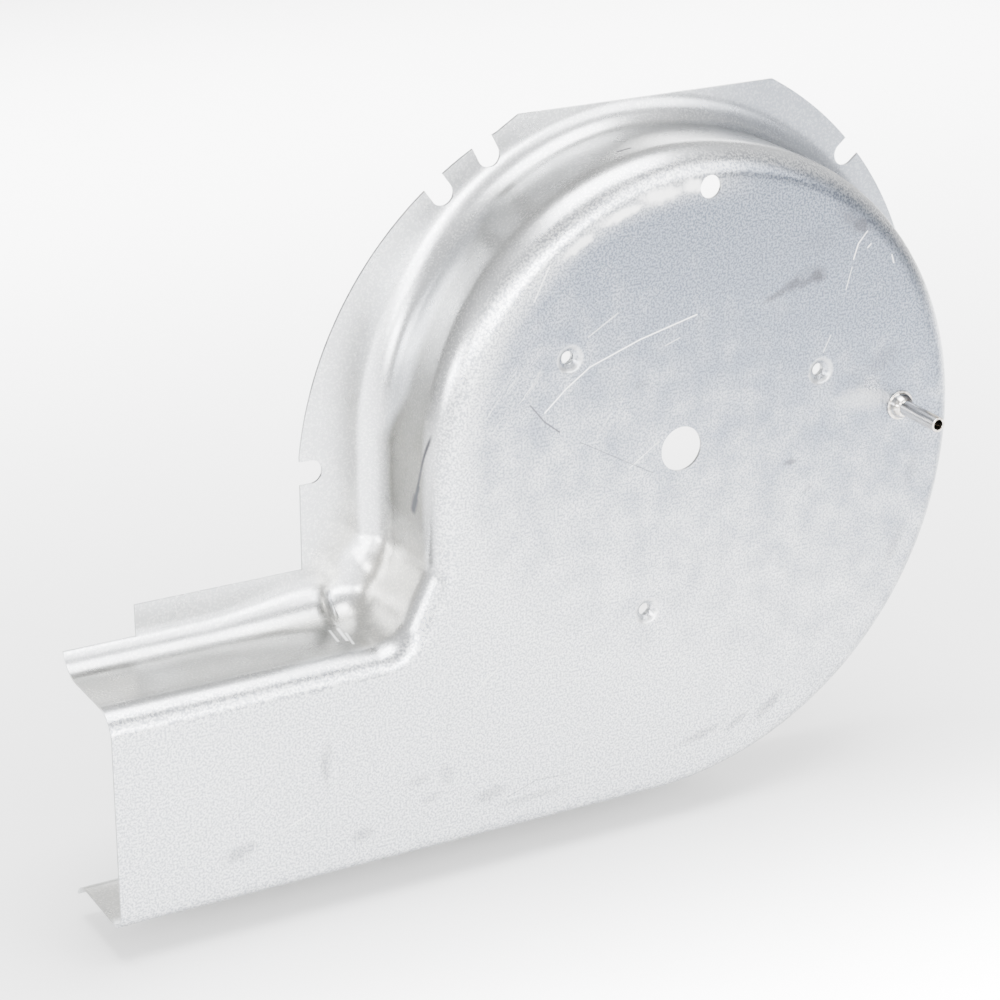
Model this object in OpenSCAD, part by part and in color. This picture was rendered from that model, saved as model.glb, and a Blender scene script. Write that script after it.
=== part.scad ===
// Blower housing pressed from one sheet of galvanised steel, with a staked
// pressure tap. X runs along the outlet duct, Y from the face back to the
// flange, Z up. The origin is the centre of the shaft hole on the outer face.

/* [Sheet] */
// Thickness of the galvanised sheet
sheet_t = 1.0; // [0.8:0.1:1.4]
// Depth from the outer face to the front of the flange
pan_depth = 43.5; // [38:0.5:60]
// Outer radius of the bend between face and wall
face_bend_r = 10; // [6:0.5:12]
// Front radius of the fillet between wall and flange
flange_fillet_r = 10; // [7:0.5:12]

/* [Scroll] */
// Wall radius of the upper left quarter of the scroll
scroll_start_r = 104; // [101:0.5:107]
// Wall radius of the upper right quarter of the scroll
scroll_mid_r = 121; // [118:0.5:124]
// Wall radius of the lower right quarter of the scroll
scroll_end_r = 131; // [128:0.5:134]
// Distance from the shaft to the centre of the first quarter, to the right
scroll_start_x = 3; // [1:0.5:5]
// Height of the centre of the first quarter above the shaft
scroll_start_z = 8; // [6:0.5:10]

/* [Outlet duct] */
// Distance from the shaft to the open end of the duct
outlet_reach = 225.4; // [210:0.2:250]
// Distance of the duct's upper wall below the shaft
duct_top_drop = 56; // [52:0.5:60]

/* [Tongue] */
// Distance below the shaft at which the wall turns into the tongue
tongue_drop = 26.7; // [24:0.1:29]
// Wall radius of the tongue's two corners
tongue_corner_r = 14; // [14:0.5:16]

/* [Flange] */
// Height of the flange's flat top edge above the shaft
flange_top = 120.5; // [118:0.5:124]
// Distance from the shaft to the flange's straight left edge
flange_left = 132.9; // [130:0.1:134]
// Radius of the flange's left rim
flange_left_r = 137.6; // [137:0.1:139]
// Radius of the flange's right rim
flange_right_r = 136.7; // [136:0.1:139]
// Width of the flange along the top of the duct, out from the wall
duct_strip_w = 18.8; // [15:0.2:22]
// Width of the flange along the lower edge, out from the wall
flange_low_w = 14; // [13:0.5:16]
// Length of the trimmed lips at the open end
lip_len = 27.4; // [20:0.2:34]
// Width left on the upper lip, out from the wall
lip_top_w = 6.9; // [4:0.1:8]
// Width left on the lower lip, out from the wall
lip_low_w = 4.5; // [3:0.1:6]

/* [Screw notches] */
// Width of each open notch in the flange's rim
notch_w = 9; // [7:0.5:11]
// Depth of the notches at the left and upper right, from rim to round end
notch_depth = 8.8; // [7:0.2:11]
// Depth of the pair of notches at the upper left
pair_notch_depth = 10.2; // [7:0.2:12]

/* [Face holes] */
// Diameter of the shaft hole
shaft_hole_d = 17; // [12:0.5:22]
// Diameter of the circle on which the motor screws lie
motor_circle_d = 127; // [110:1:140]
// Direction of the first motor screw, from +X towards +Z
motor_screw_angle = 18.1; // [14:0.1:22]
// Diameter of the motor screw holes
motor_hole_d = 4.8; // [3:0.1:5.4]
// Diameter of the countersunk dimple round each motor screw hole
dimple_d = 9; // [8:0.2:11]
// Depth of each dimple
dimple_depth = 1.8; // [1:0.1:2.4]
// Length of the drawn collar behind each dimple
dimple_collar_len = 1.6; // [0.5:0.1:2.5]
// Wall thickness of the drawn collar
dimple_collar_t = 0.6; // [0.4:0.1:0.8]
// Diameter of the plain hole near the top of the face
vent_hole_d = 8.5; // [6:0.5:9]
// Distance of the plain hole to the right of the shaft
vent_hole_x = 9.5; // [5:0.5:14]
// Height of the plain hole above the shaft
vent_hole_z = 97.5; // [94:0.5:97.5]

/* [Pressure tap] */
// Outer diameter of the tap's tube
tap_d = 5.8; // [5:0.1:6.5]
// Bore of the tap's tube
tap_bore_d = 4; // [2.5:0.1:4.4]
// Distance of the tap to the right of the shaft
tap_x = 97; // [94:0.5:98]
// Distance that the tube stands out of the face
tap_len = 25; // [18:0.5:35]
// Diameter of the collar that seats on the face
tap_collar_d = 11.4; // [10.5:0.1:13]
// Thickness of the collar
tap_collar_t = 0.9; // [0.6:0.1:1.4]
// Diameter of the domed shoulder where it meets the collar
tap_dome_d = 9.6; // [8:0.1:10.4]
// Diameter of the staked rim behind the face
tap_stake_d = 8.6; // [7.5:0.1:9.5]
// Thickness of the staked rim
tap_stake_t = 0.9; // [0.6:0.1:1.5]
// Radial clearance of the tap in its hole
tap_clearance = 0.05; // [0.02:0.01:0.2]

/* [Hidden] */

$fn = 96;
right_angle = 90;

// Length of every piece and cutter past the edge that it is cut to
over = 1;

// Width of flat sheet drawn with the wall, which the face and flange overlap
seam_w = 1.5;
seam_arc_steps = 5;

// Centres of the scroll's three quarters: each arc runs on into the next
scroll_end_x = scroll_start_x + scroll_mid_r - scroll_end_r;
scroll_mid_z = scroll_start_z + scroll_start_r - scroll_mid_r;
start_centre = [scroll_start_x, scroll_start_z];
mid_centre = [scroll_start_x, scroll_mid_z];
end_centre = [scroll_end_x, scroll_mid_z];

// Planes that the wall lies in
wall_left = scroll_start_x - scroll_start_r;
wall_low = scroll_mid_z - scroll_end_r;
duct_top = -duct_top_drop;
outlet_x = -outlet_reach;
duct_end_x = outlet_x - over;

// The tongue turns off the wall by the first angle, runs straight, and turns by
// the rest of a right angle into the duct
tongue_turn = 26.3698;
tongue_run = (duct_top_drop - tongue_drop - tongue_corner_r) / cos(tongue_turn);
top_corner_centre = [wall_left - tongue_corner_r, -tongue_drop];
low_corner_centre = top_corner_centre - tongue_run * [sin(tongue_turn), cos(tongue_turn)];

// The flange's rim: two arcs above, one round the end quarter below, and the
// strips along the duct
flange_left_x = -flange_left;
rim_left_centre = [3.7, -10.3];
rim_right_centre = [-3, 1.1];
flange_right_x = rim_right_centre[0] + flange_right_r;
flange_low_z = wall_low - flange_low_w;
rim_low_r = scroll_end_r + flange_low_w;
rim_low_centre = [flange_right_x - rim_low_r, scroll_mid_z];
strip_z = duct_top + duct_strip_w;
lip_x = outlet_x + lip_len;
lip_top_z = duct_top + lip_top_w;
lip_low_z = wall_low - lip_low_w;

// Straight corner that joins the left rim to the flat top
top_corner_x = -44.1;
top_corner_run = 8.5;
top_corner_drop = 5.1;

// Directions of the notches, seen from the centre of the rim that they cut
left_notch_z = 0;
pair_notch_angles = [117, 126.6];
right_notch_angle = 40.7;

// Places on the face
motor_screw_count = 3;
motor_screw_step = 2 * 2 * right_angle / motor_screw_count;
tap_hole_d = tap_d + 2 * tap_clearance;

// Everything is drawn lying flat, face up, and then stood on its lower edge,
// which turns the drawn height into the direction towards the viewer
module stand_up() {
    rotate([right_angle, 0, 0]) children();
}

// Quarter ring of sheet round the origin, from the X axis to the Y axis
module quarter_ring(inner_r, outer_r) {
    intersection() {
        difference() {
            circle(r = outer_r);
            circle(r = inner_r);
        }
        square(outer_r);
    }
}

// Section of the sheet across the wall: X is the distance out from the wall's
// outer surface, Y the height, with the face at zero
module wall_section() {
    wall_h = pan_depth - face_bend_r - flange_fillet_r;
    translate([-face_bend_r - seam_w, -sheet_t]) square([seam_w, sheet_t]);
    translate([-face_bend_r, -face_bend_r])
        quarter_ring(face_bend_r - sheet_t, face_bend_r);
    translate([-sheet_t, -face_bend_r - wall_h]) square([sheet_t, wall_h]);
    translate([flange_fillet_r, flange_fillet_r - pan_depth])
        rotate(2 * right_angle)
            quarter_ring(flange_fillet_r, flange_fillet_r + sheet_t);
    translate([flange_fillet_r, -pan_depth - sheet_t]) square([seam_w, sheet_t]);
}

// Straight wall that starts at the origin and runs along X, its outside on Y
module wall_run(length) {
    rotate([right_angle, 0, right_angle]) linear_extrude(length) wall_section();
}

// Wall round an arc whose centre lies inside the housing
module wall_quarter(centre, r, start_angle) {
    translate([centre[0], centre[1], 0])
        rotate(start_angle)
            rotate_extrude(angle = right_angle)
                translate([r, 0]) wall_section();
}

// Wall round a corner of the tongue, which starts at the origin and runs along
// X, its centre outside the housing; what follows is drawn on from its end
module wall_corner(turn) {
    translate([0, tongue_corner_r, 0]) {
        rotate(-right_angle)
            rotate_extrude(angle = turn)
                translate([tongue_corner_r, 0]) mirror([1, 0]) wall_section();
        rotate(turn) translate([0, -tongue_corner_r, 0]) children();
    }
}

// Wall from the duct's open end to the top of the scroll's first quarter, drawn
// backwards piece by piece, mirrored so that each runs along X
module tongue_wall() {
    translate([wall_left, -tongue_drop, 0])
        rotate(-right_angle) mirror([0, 1, 0])
            wall_corner(tongue_turn) {
                wall_run(tongue_run);
                translate([tongue_run, 0, 0])
                    wall_corner(right_angle - tongue_turn)
                        wall_run(low_corner_centre[0] - duct_end_x);
            }
}

module wall() {
    tongue_wall();
    translate([wall_left, -tongue_drop, 0])
        rotate(right_angle) wall_run(scroll_start_z + tongue_drop);
    wall_quarter(start_centre, scroll_start_r, right_angle);
    wall_quarter(mid_centre, scroll_mid_r, 0);
    wall_quarter(end_centre, scroll_end_r, -right_angle);
    translate([scroll_end_x, wall_low, 0])
        rotate(2 * right_angle) wall_run(scroll_end_x - duct_end_x);
}

// One quarter of a disc: signs give the side of the centre that it lies on
module quarter_disc(centre, r, side_x, side_y) {
    translate(centre)
        intersection() {
            circle(r = r);
            translate([min(side_x, 0) * r, min(side_y, 0) * r]) square(r);
        }
}

// Points round a corner of the tongue, out from the wall by the given distance,
// each at the middle of one of the arc's equal steps
function corner_points(centre, from_turn, to_turn, out) = [
    for (i = [0 : seam_arc_steps - 1])
        let (turn = from_turn + (to_turn - from_turn) * (i + 0.5) / seam_arc_steps)
        centre + (tongue_corner_r - out) * [cos(turn), -sin(turn)]
];

// The open corner outside the tongue, out from the wall by the given distance
module tongue_gap(out) {
    top_z = scroll_start_z + over;
    polygon(concat(
        [[duct_end_x - over, top_z], [wall_left - out, top_z]],
        corner_points(top_corner_centre, 0, tongue_turn, out),
        corner_points(low_corner_centre, tongue_turn, right_angle, out),
        [[duct_end_x - over, duct_top + out]]
    ));
}

// Area inside the wall's outer surface, moved out by the given distance
module plan(out) {
    quarter_disc(start_centre, scroll_start_r + out, -1, 1);
    quarter_disc(mid_centre, scroll_mid_r + out, 1, 1);
    quarter_disc(end_centre, scroll_end_r + out, 1, -1);
    difference() {
        low = wall_low - out;
        polygon([
            [duct_end_x, low],
            [scroll_end_x, low],
            [scroll_end_x, scroll_mid_z],
            [scroll_start_x, scroll_mid_z],
            [scroll_start_x, scroll_start_z],
            [duct_end_x, scroll_start_z]
        ]);
        tongue_gap(out);
    }
}

// Sheet in the plane of the flange and the face
module plate(front_z) {
    translate([0, 0, front_z - sheet_t]) linear_extrude(sheet_t) children();
}

// Outer edge of the flange, before its notches are cut
module rim_outline() {
    intersection() {
        union() {
            quarter_disc(rim_left_centre, flange_left_r, -1, 1);
            quarter_disc(rim_right_centre, flange_right_r, 1, 1);
            polygon([
                [top_corner_x - top_corner_run, flange_top - top_corner_drop],
                [top_corner_x, flange_top],
                [rim_left_centre[0], flange_top],
                [rim_left_centre[0], flange_top - top_corner_drop]
            ]);
        }
        translate([flange_left_x, rim_left_centre[1]])
            square([flange_right_x - flange_left_x, flange_top - rim_left_centre[1]]);
    }
    quarter_disc(rim_low_centre, rim_low_r, 1, -1);
    polygon([
        [flange_left_x, rim_right_centre[1]],
        [flange_left_x, strip_z],
        [lip_x, strip_z],
        [lip_x, lip_top_z],
        [outlet_x, lip_top_z],
        [outlet_x, lip_low_z],
        [lip_x, lip_low_z],
        [lip_x, flange_low_z],
        [rim_low_centre[0], flange_low_z],
        [rim_low_centre[0], scroll_mid_z],
        [flange_right_x, scroll_mid_z],
        [flange_right_x, rim_right_centre[1]]
    ]);
}

// Open notch: round end towards the housing, open in the given direction
module notch(rim_point, direction, depth) {
    translate(rim_point)
        rotate(direction)
            translate([notch_w / 2 - depth, 0]) {
                circle(d = notch_w);
                translate([0, -notch_w / 2]) square([depth + over, notch_w]);
            }
}

module notches() {
    notch([flange_left_x, left_notch_z], 2 * right_angle, notch_depth);
    for (a = pair_notch_angles)
        notch(rim_left_centre + flange_left_r * [cos(a), sin(a)], a, pair_notch_depth);
    notch(rim_right_centre + flange_right_r * [cos(right_notch_angle), sin(right_notch_angle)],
        right_notch_angle, notch_depth);
}

// Flange before its rim is cut
module flange_plate() {
    size_x = flange_right_x - duct_end_x + over;
    size_z = flange_top - flange_low_z + 2 * over;
    plate(-pan_depth)
        difference() {
            translate([duct_end_x, flange_low_z - over]) square([size_x, size_z]);
            plan(flange_fillet_r + seam_w / 2);
        }
}

// Puts a copy at each of the motor's screws
module at_motor_screws() {
    for (i = [0 : motor_screw_count - 1])
        rotate(motor_screw_angle + i * motor_screw_step)
            translate([motor_circle_d / 2, 0]) children();
}

module face_holes() {
    circle(d = shaft_hole_d);
    translate([vent_hole_x, vent_hole_z]) circle(d = vent_hole_d);
    translate([tap_x, 0]) circle(d = tap_hole_d);
    at_motor_screws() circle(d = dimple_d);
}

// Punches the sheet: the rim, the duct's open end, the notches and the holes
module punched() {
    intersection() {
        children();
        translate([0, 0, -pan_depth - sheet_t - over])
            linear_extrude(pan_depth + sheet_t + 2 * over)
                difference() {
                    rim_outline();
                    notches();
                    face_holes();
                }
    }
}

// Countersunk dimple pressed into the face, with a drawn collar behind it
module dimple() {
    rim_r = dimple_d / 2;
    hole_r = motor_hole_d / 2;
    collar_r = hole_r + dimple_collar_t;
    collar_end = -dimple_depth - sheet_t - dimple_collar_len;
    rotate_extrude()
        polygon([
            [rim_r, 0],
            [hole_r, -dimple_depth],
            [hole_r, collar_end],
            [collar_r, collar_end],
            [collar_r, -dimple_depth - sheet_t],
            [rim_r, -sheet_t]
        ]);
}

module housing_shell() {
    color([0.78, 0.8, 0.82])
        stand_up() {
            punched() {
                wall();
                plate(0) plan(-face_bend_r - seam_w / 2);
                flange_plate();
            }
            at_motor_screws() dimple();
        }
}

// Turned tube with a collar on the face, a domed shoulder and a staked rim
// behind the face
module pressure_tap() {
    stake_end = -sheet_t - tap_stake_t;
    dome_r = tap_dome_d / 2;
    color([0.8, 0.79, 0.76])
        stand_up() translate([tap_x, 0, 0])
            difference() {
                union() {
                    translate([0, 0, stake_end]) cylinder(d = tap_d, h = tap_len - stake_end);
                    translate([0, 0, stake_end]) cylinder(d = tap_stake_d, h = tap_stake_t);
                    cylinder(d = tap_collar_d, h = tap_collar_t);
                    rotate_extrude()
                        intersection() {
                            translate([0, tap_collar_t]) circle(r = dome_r);
                            translate([0, tap_collar_t]) square(dome_r);
                        }
                }
                translate([0, 0, stake_end - over])
                    cylinder(d = tap_bore_d, h = tap_len - stake_end + 2 * over);
            }
}

housing_shell();
pressure_tap();
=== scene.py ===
"""Looks of the pressed blower housing: its sheet, its staked tap, their finishes and the studio.

Lengths are in metres, in the row's frame: X runs along the outlet duct, Y from the face back to the
flange, Z up, and the origin is the centre of the shaft hole on the outer face.
"""

import logging
import math
from dataclasses import dataclass, field
from enum import Enum

import bmesh
import bpy
from mathutils import Matrix, Vector


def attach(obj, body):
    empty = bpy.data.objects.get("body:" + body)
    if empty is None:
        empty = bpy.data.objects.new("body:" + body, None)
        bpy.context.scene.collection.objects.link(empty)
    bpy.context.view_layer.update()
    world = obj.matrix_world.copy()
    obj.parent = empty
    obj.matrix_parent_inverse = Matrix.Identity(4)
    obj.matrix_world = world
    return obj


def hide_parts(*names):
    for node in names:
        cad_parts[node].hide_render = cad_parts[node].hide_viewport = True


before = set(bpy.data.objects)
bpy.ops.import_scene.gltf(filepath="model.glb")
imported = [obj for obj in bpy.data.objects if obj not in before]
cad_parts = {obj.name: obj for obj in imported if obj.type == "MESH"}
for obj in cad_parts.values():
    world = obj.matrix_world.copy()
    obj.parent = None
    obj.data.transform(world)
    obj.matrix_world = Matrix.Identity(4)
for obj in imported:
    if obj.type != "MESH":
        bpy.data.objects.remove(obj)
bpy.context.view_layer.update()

log = logging.getLogger("housing")
MM = 0.001
NOISE_MIDDLE = 0.5

Pair = tuple[float, float]
Step = tuple[float, float]
Triple = tuple[float, float, float]
Colour = tuple[float, float, float, float]
NodeTree = bpy.types.NodeTree
Socket = bpy.types.NodeSocket
Value = Socket | float | tuple | Vector


def smooth(share: float) -> float:
    """A soft step from 0 to 1 for a share from 0 to 1."""
    return share * share * (3 - 2 * share)


class Slot(Enum):
    """The record's material slots."""

    SHEET = "galvanised_sheet"
    TAP = "plated_tap"


class Cut(Enum):
    """Ways to cut with a closed tool."""

    KEEP_INSIDE = "INTERSECT"
    TAKE_AWAY = "DIFFERENCE"


@dataclass(frozen=True)
class Arc:
    """An arc in the face's plane.

    Args:
        centre: Centre (x, z) in millimetres.
        radius: Radius in millimetres.
        start: First direction in degrees, from +X towards +Z.
        end: Last direction in degrees.
        outside: 1 if the housing's outside is away from the centre, -1 if it is towards it.
    """

    centre: Pair
    radius: float
    start: float
    end: float
    outside: int = 1

    def points(self, step: float) -> list[tuple[Vector, Vector]]:
        """Points along the arc.

        Args:
            step: Largest turn between two points, in degrees.

        Returns:
            Pairs of a place and the direction to the housing's outside.
        """
        count = max(2, math.ceil(abs(self.end - self.start) / step))
        out = []
        for i in range(count + 1):
            a = math.radians(self.start + (self.end - self.start) * i / count)
            ray = Vector((math.cos(a), 0, math.sin(a)))
            place = Vector((self.centre[0], 0, self.centre[1])) + self.radius * ray
            out.append((place, self.outside * ray))
        return out


@dataclass(frozen=True)
class PanSizes:
    """Sizes of the pressed sheet, in millimetres, and its angles in degrees.

    The wall follows the scroll's start, mid and end arcs, the duct's two straight sides, and the
    tongue, which is a straight wall between two corners.
    """

    sheet: float = 1.0
    depth: float = 43.5
    face_bend: float = 10.0
    low_bend: float = 7.0
    wide_bend: float = 13.5
    fillet: float = 10.0
    flat_width: float = 2.0
    scroll_arc_step: float = 1.5
    corner_arc_step: float = 3.2
    outlet_x: float = -225.4
    duct_top: float = -56.0
    wall_low: float = -140.0
    wall_left: float = -101.0
    tongue_z: float = -26.7
    tongue_turn: float = 26.3698
    tongue_r: float = 14.0
    start_centre: Pair = (3.0, 8.0)
    start_r: float = 104.0
    mid_centre: Pair = (3.0, -9.0)
    mid_r: float = 121.0
    end_centre: Pair = (-7.0, -9.0)
    end_r: float = 131.0
    past_outlet: float = 2.0
    wide_fillet: float = 16.5
    wide_from_x: float = -172.0
    crease_x: float = -123.1
    strip_step: float = 4.0
    corner_fillet: float = 11.8
    tongue_fillet: float = 14.2
    tongue_steps: int = 8
    right_fillet: float = 9.4
    tolerance: float = 0.01

    @property
    def tongue_run(self) -> float:
        """Length of the straight wall between the tongue's two corners."""
        drop = self.tongue_z - self.tongue_r - self.duct_top
        return drop / math.cos(math.radians(self.tongue_turn))

    @property
    def top_corner(self) -> Pair:
        """Centre of the tongue's upper corner."""
        return (self.wall_left - self.tongue_r, self.tongue_z)

    @property
    def low_corner(self) -> Pair:
        """Centre of the tongue's lower corner."""
        turn = math.radians(self.tongue_turn)
        x, z = self.top_corner
        return (x - self.tongue_run * math.sin(turn), z - self.tongue_run * math.cos(turn))

    def wall_path(self) -> list[tuple[Vector, Vector]]:
        """The wall's outer surface, from the duct's upper side round to its lower side.

        Returns:
            Pairs of a place and the direction to the housing's outside, in millimetres.
        """
        up, down = Vector((0, 0, 1)), Vector((0, 0, -1))
        far = self.outlet_x - self.past_outlet
        low = Arc(self.low_corner, self.tongue_r, -90, -self.tongue_turn, -1)
        top = Arc(self.top_corner, self.tongue_r, -self.tongue_turn, 0, -1)
        start = Arc(self.start_centre, self.start_r, 180, 90)
        mid = Arc(self.mid_centre, self.mid_r, 90, 0)
        end = Arc(self.end_centre, self.end_r, 0, -90)
        path = [(Vector((far, 0, self.duct_top)), up)]
        count = math.ceil((self.crease_x - self.wide_from_x) / self.strip_step)
        for i in range(count + 1):
            x = self.wide_from_x + (self.crease_x - self.wide_from_x) * i / count
            path.append((Vector((x, 0, self.duct_top)), up))
        for arc in (low, top, start, mid, end):
            step = self.corner_arc_step if arc.outside < 0 else self.scroll_arc_step
            points = arc.points(step)
            if arc is top:
                first, ray = points[0]
                last = path[-1][0]
                for i in range(1, self.tongue_steps):
                    path.append((last.lerp(first, i / self.tongue_steps), ray))
            for place, ray in points:
                if (place - path[-1][0]).length > self.tolerance:
                    path.append((place, ray))
        path.append((Vector((far, 0, self.wall_low)), down))
        return path


@dataclass(frozen=True)
class RimSizes:
    """Sizes of the flange's cut edge, in millimetres, and its angles in degrees.

    The edge follows the left arc, the slanted corner, the top, the right arc, the low flange and
    the short lips at the outlet. The notches are one on the left, a pair and one on the right.
    """

    left_x: float = -132.9
    left_centre: Pair = (3.7, -10.3)
    left_r: float = 137.6
    right_centre: Pair = (-3.0, 1.1)
    right_r: float = 136.7
    top_z: float = 120.5
    top_corner: Pair = (-44.1, 120.5)
    top_corner_low: Pair = (-52.6, 115.4)
    low_margin: float = 14.0
    strip_z: float = -37.2
    lip_x: float = -198.0
    lip_top_z: float = -49.1
    lip_low_z: float = -144.5
    notch_w: float = 9.0
    notch_depth: float = 8.8
    pair_depth: float = 10.2
    pair_angles: Pair = (117.0, 126.6)
    right_angle: float = 40.7
    arc_step: float = 1.0
    notch_arc_step: float = 9.0

    def outline(self, pan: PanSizes) -> list[Vector]:
        """The flange's cut edge with no notches, once round from the outlet's upper lip.

        Args:
            pan: Sizes of the pressed sheet.

        Returns:
            Places in millimetres.
        """
        left_z = self.left_centre[1] + math.sqrt(
            self.left_r**2 - (self.left_x - self.left_centre[0]) ** 2
        )
        right_x = self.right_centre[0] + self.right_r
        low_r = pan.end_r + self.low_margin
        low_z = pan.wall_low - self.low_margin
        top_x = self.right_centre[0] + math.sqrt(
            self.right_r**2 - (self.top_z - self.right_centre[1]) ** 2
        )

        def direction(centre: Pair, x: float, z: float) -> float:
            """Direction from a centre to a place, in degrees."""
            return math.degrees(math.atan2(z - centre[1], x - centre[0]))

        left = Arc(
            self.left_centre,
            self.left_r,
            direction(self.left_centre, self.left_x, left_z),
            direction(self.left_centre, *self.top_corner_low),
        )
        right = Arc(
            self.right_centre,
            self.right_r,
            direction(self.right_centre, top_x, self.top_z),
            0,
        )
        low = Arc((right_x - low_r, pan.end_centre[1]), low_r, 0, -90)
        corners = [
            (pan.outlet_x, self.lip_low_z),
            (pan.outlet_x, self.lip_top_z),
            (self.lip_x, self.lip_top_z),
            (self.lip_x, self.strip_z),
            (self.left_x, self.strip_z),
        ]
        out = [Vector((x, 0, z)) for x, z in corners]
        out += [p for p, _ in left.points(self.arc_step)]
        out.append(Vector((self.top_corner[0], 0, self.top_corner[1])))
        out += [p for p, _ in right.points(self.arc_step)]
        out += [p for p, _ in low.points(self.arc_step)]
        out.append(Vector((self.lip_x, 0, low_z)))
        out.append(Vector((self.lip_x, 0, self.lip_low_z)))
        return out

    def notches(self) -> list[list[Vector]]:
        """The open notches, each an outline that runs past the rim.

        Returns:
            One list of places in millimetres for each notch.
        """
        r = self.notch_w / 2
        spots = [((self.left_x, 0.0), 180.0, self.notch_depth)]
        for a in self.pair_angles:
            spots.append((self._on_rim(self.left_centre, self.left_r, a), a, self.pair_depth))
        a = self.right_angle
        spots.append((self._on_rim(self.right_centre, self.right_r, a), a, self.notch_depth))
        out = []
        for (x, z), angle, depth in spots:
            along = Vector((math.cos(math.radians(angle)), 0, math.sin(math.radians(angle))))
            across = Vector((-along.z, 0, along.x))
            centre = Vector((x, 0, z)) + (r - depth) * along
            ring = Arc((0, 0), r, 90, 270).points(self.notch_arc_step)
            shape = [centre + p.x * along + p.z * across for p, _ in ring]
            shape.append(centre - r * across + (depth + r) * along)
            shape.append(centre + r * across + (depth + r) * along)
            out.append(shape)
        return out

    @staticmethod
    def _on_rim(centre: Pair, r: float, angle: float) -> Pair:
        """The place (x, z) at an angle on an arc of the rim."""
        a = math.radians(angle)
        return (centre[0] + r * math.cos(a), centre[1] + r * math.sin(a))


@dataclass(frozen=True)
class FaceHoles:
    """Places and sizes of the holes in the face, in millimetres."""

    shaft_d: float = 17.0
    vent: Pair = (9.5, 97.5)
    vent_d: float = 8.5
    tap_x: float = 97.0
    tap_d: float = 5.9
    screw_circle_r: float = 63.5
    screw_angle: float = 18.1
    screw_count: int = 3
    segments: int = 96

    def round_holes(self) -> list[Triple]:
        """Centre x, centre z and radius of each plain hole."""
        return [
            (0, 0, self.shaft_d / 2),
            (*self.vent, self.vent_d / 2),
            (self.tap_x, 0, self.tap_d / 2),
        ]

    def screw_places(self) -> list[Pair]:
        """Centre (x, z) of each motor screw hole.

        Returns:
            Places in millimetres.
        """
        out = []
        for i in range(self.screw_count):
            a = math.radians(self.screw_angle + 360 * i / self.screw_count)
            out.append((self.screw_circle_r * math.cos(a), self.screw_circle_r * math.sin(a)))
        return out


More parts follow.
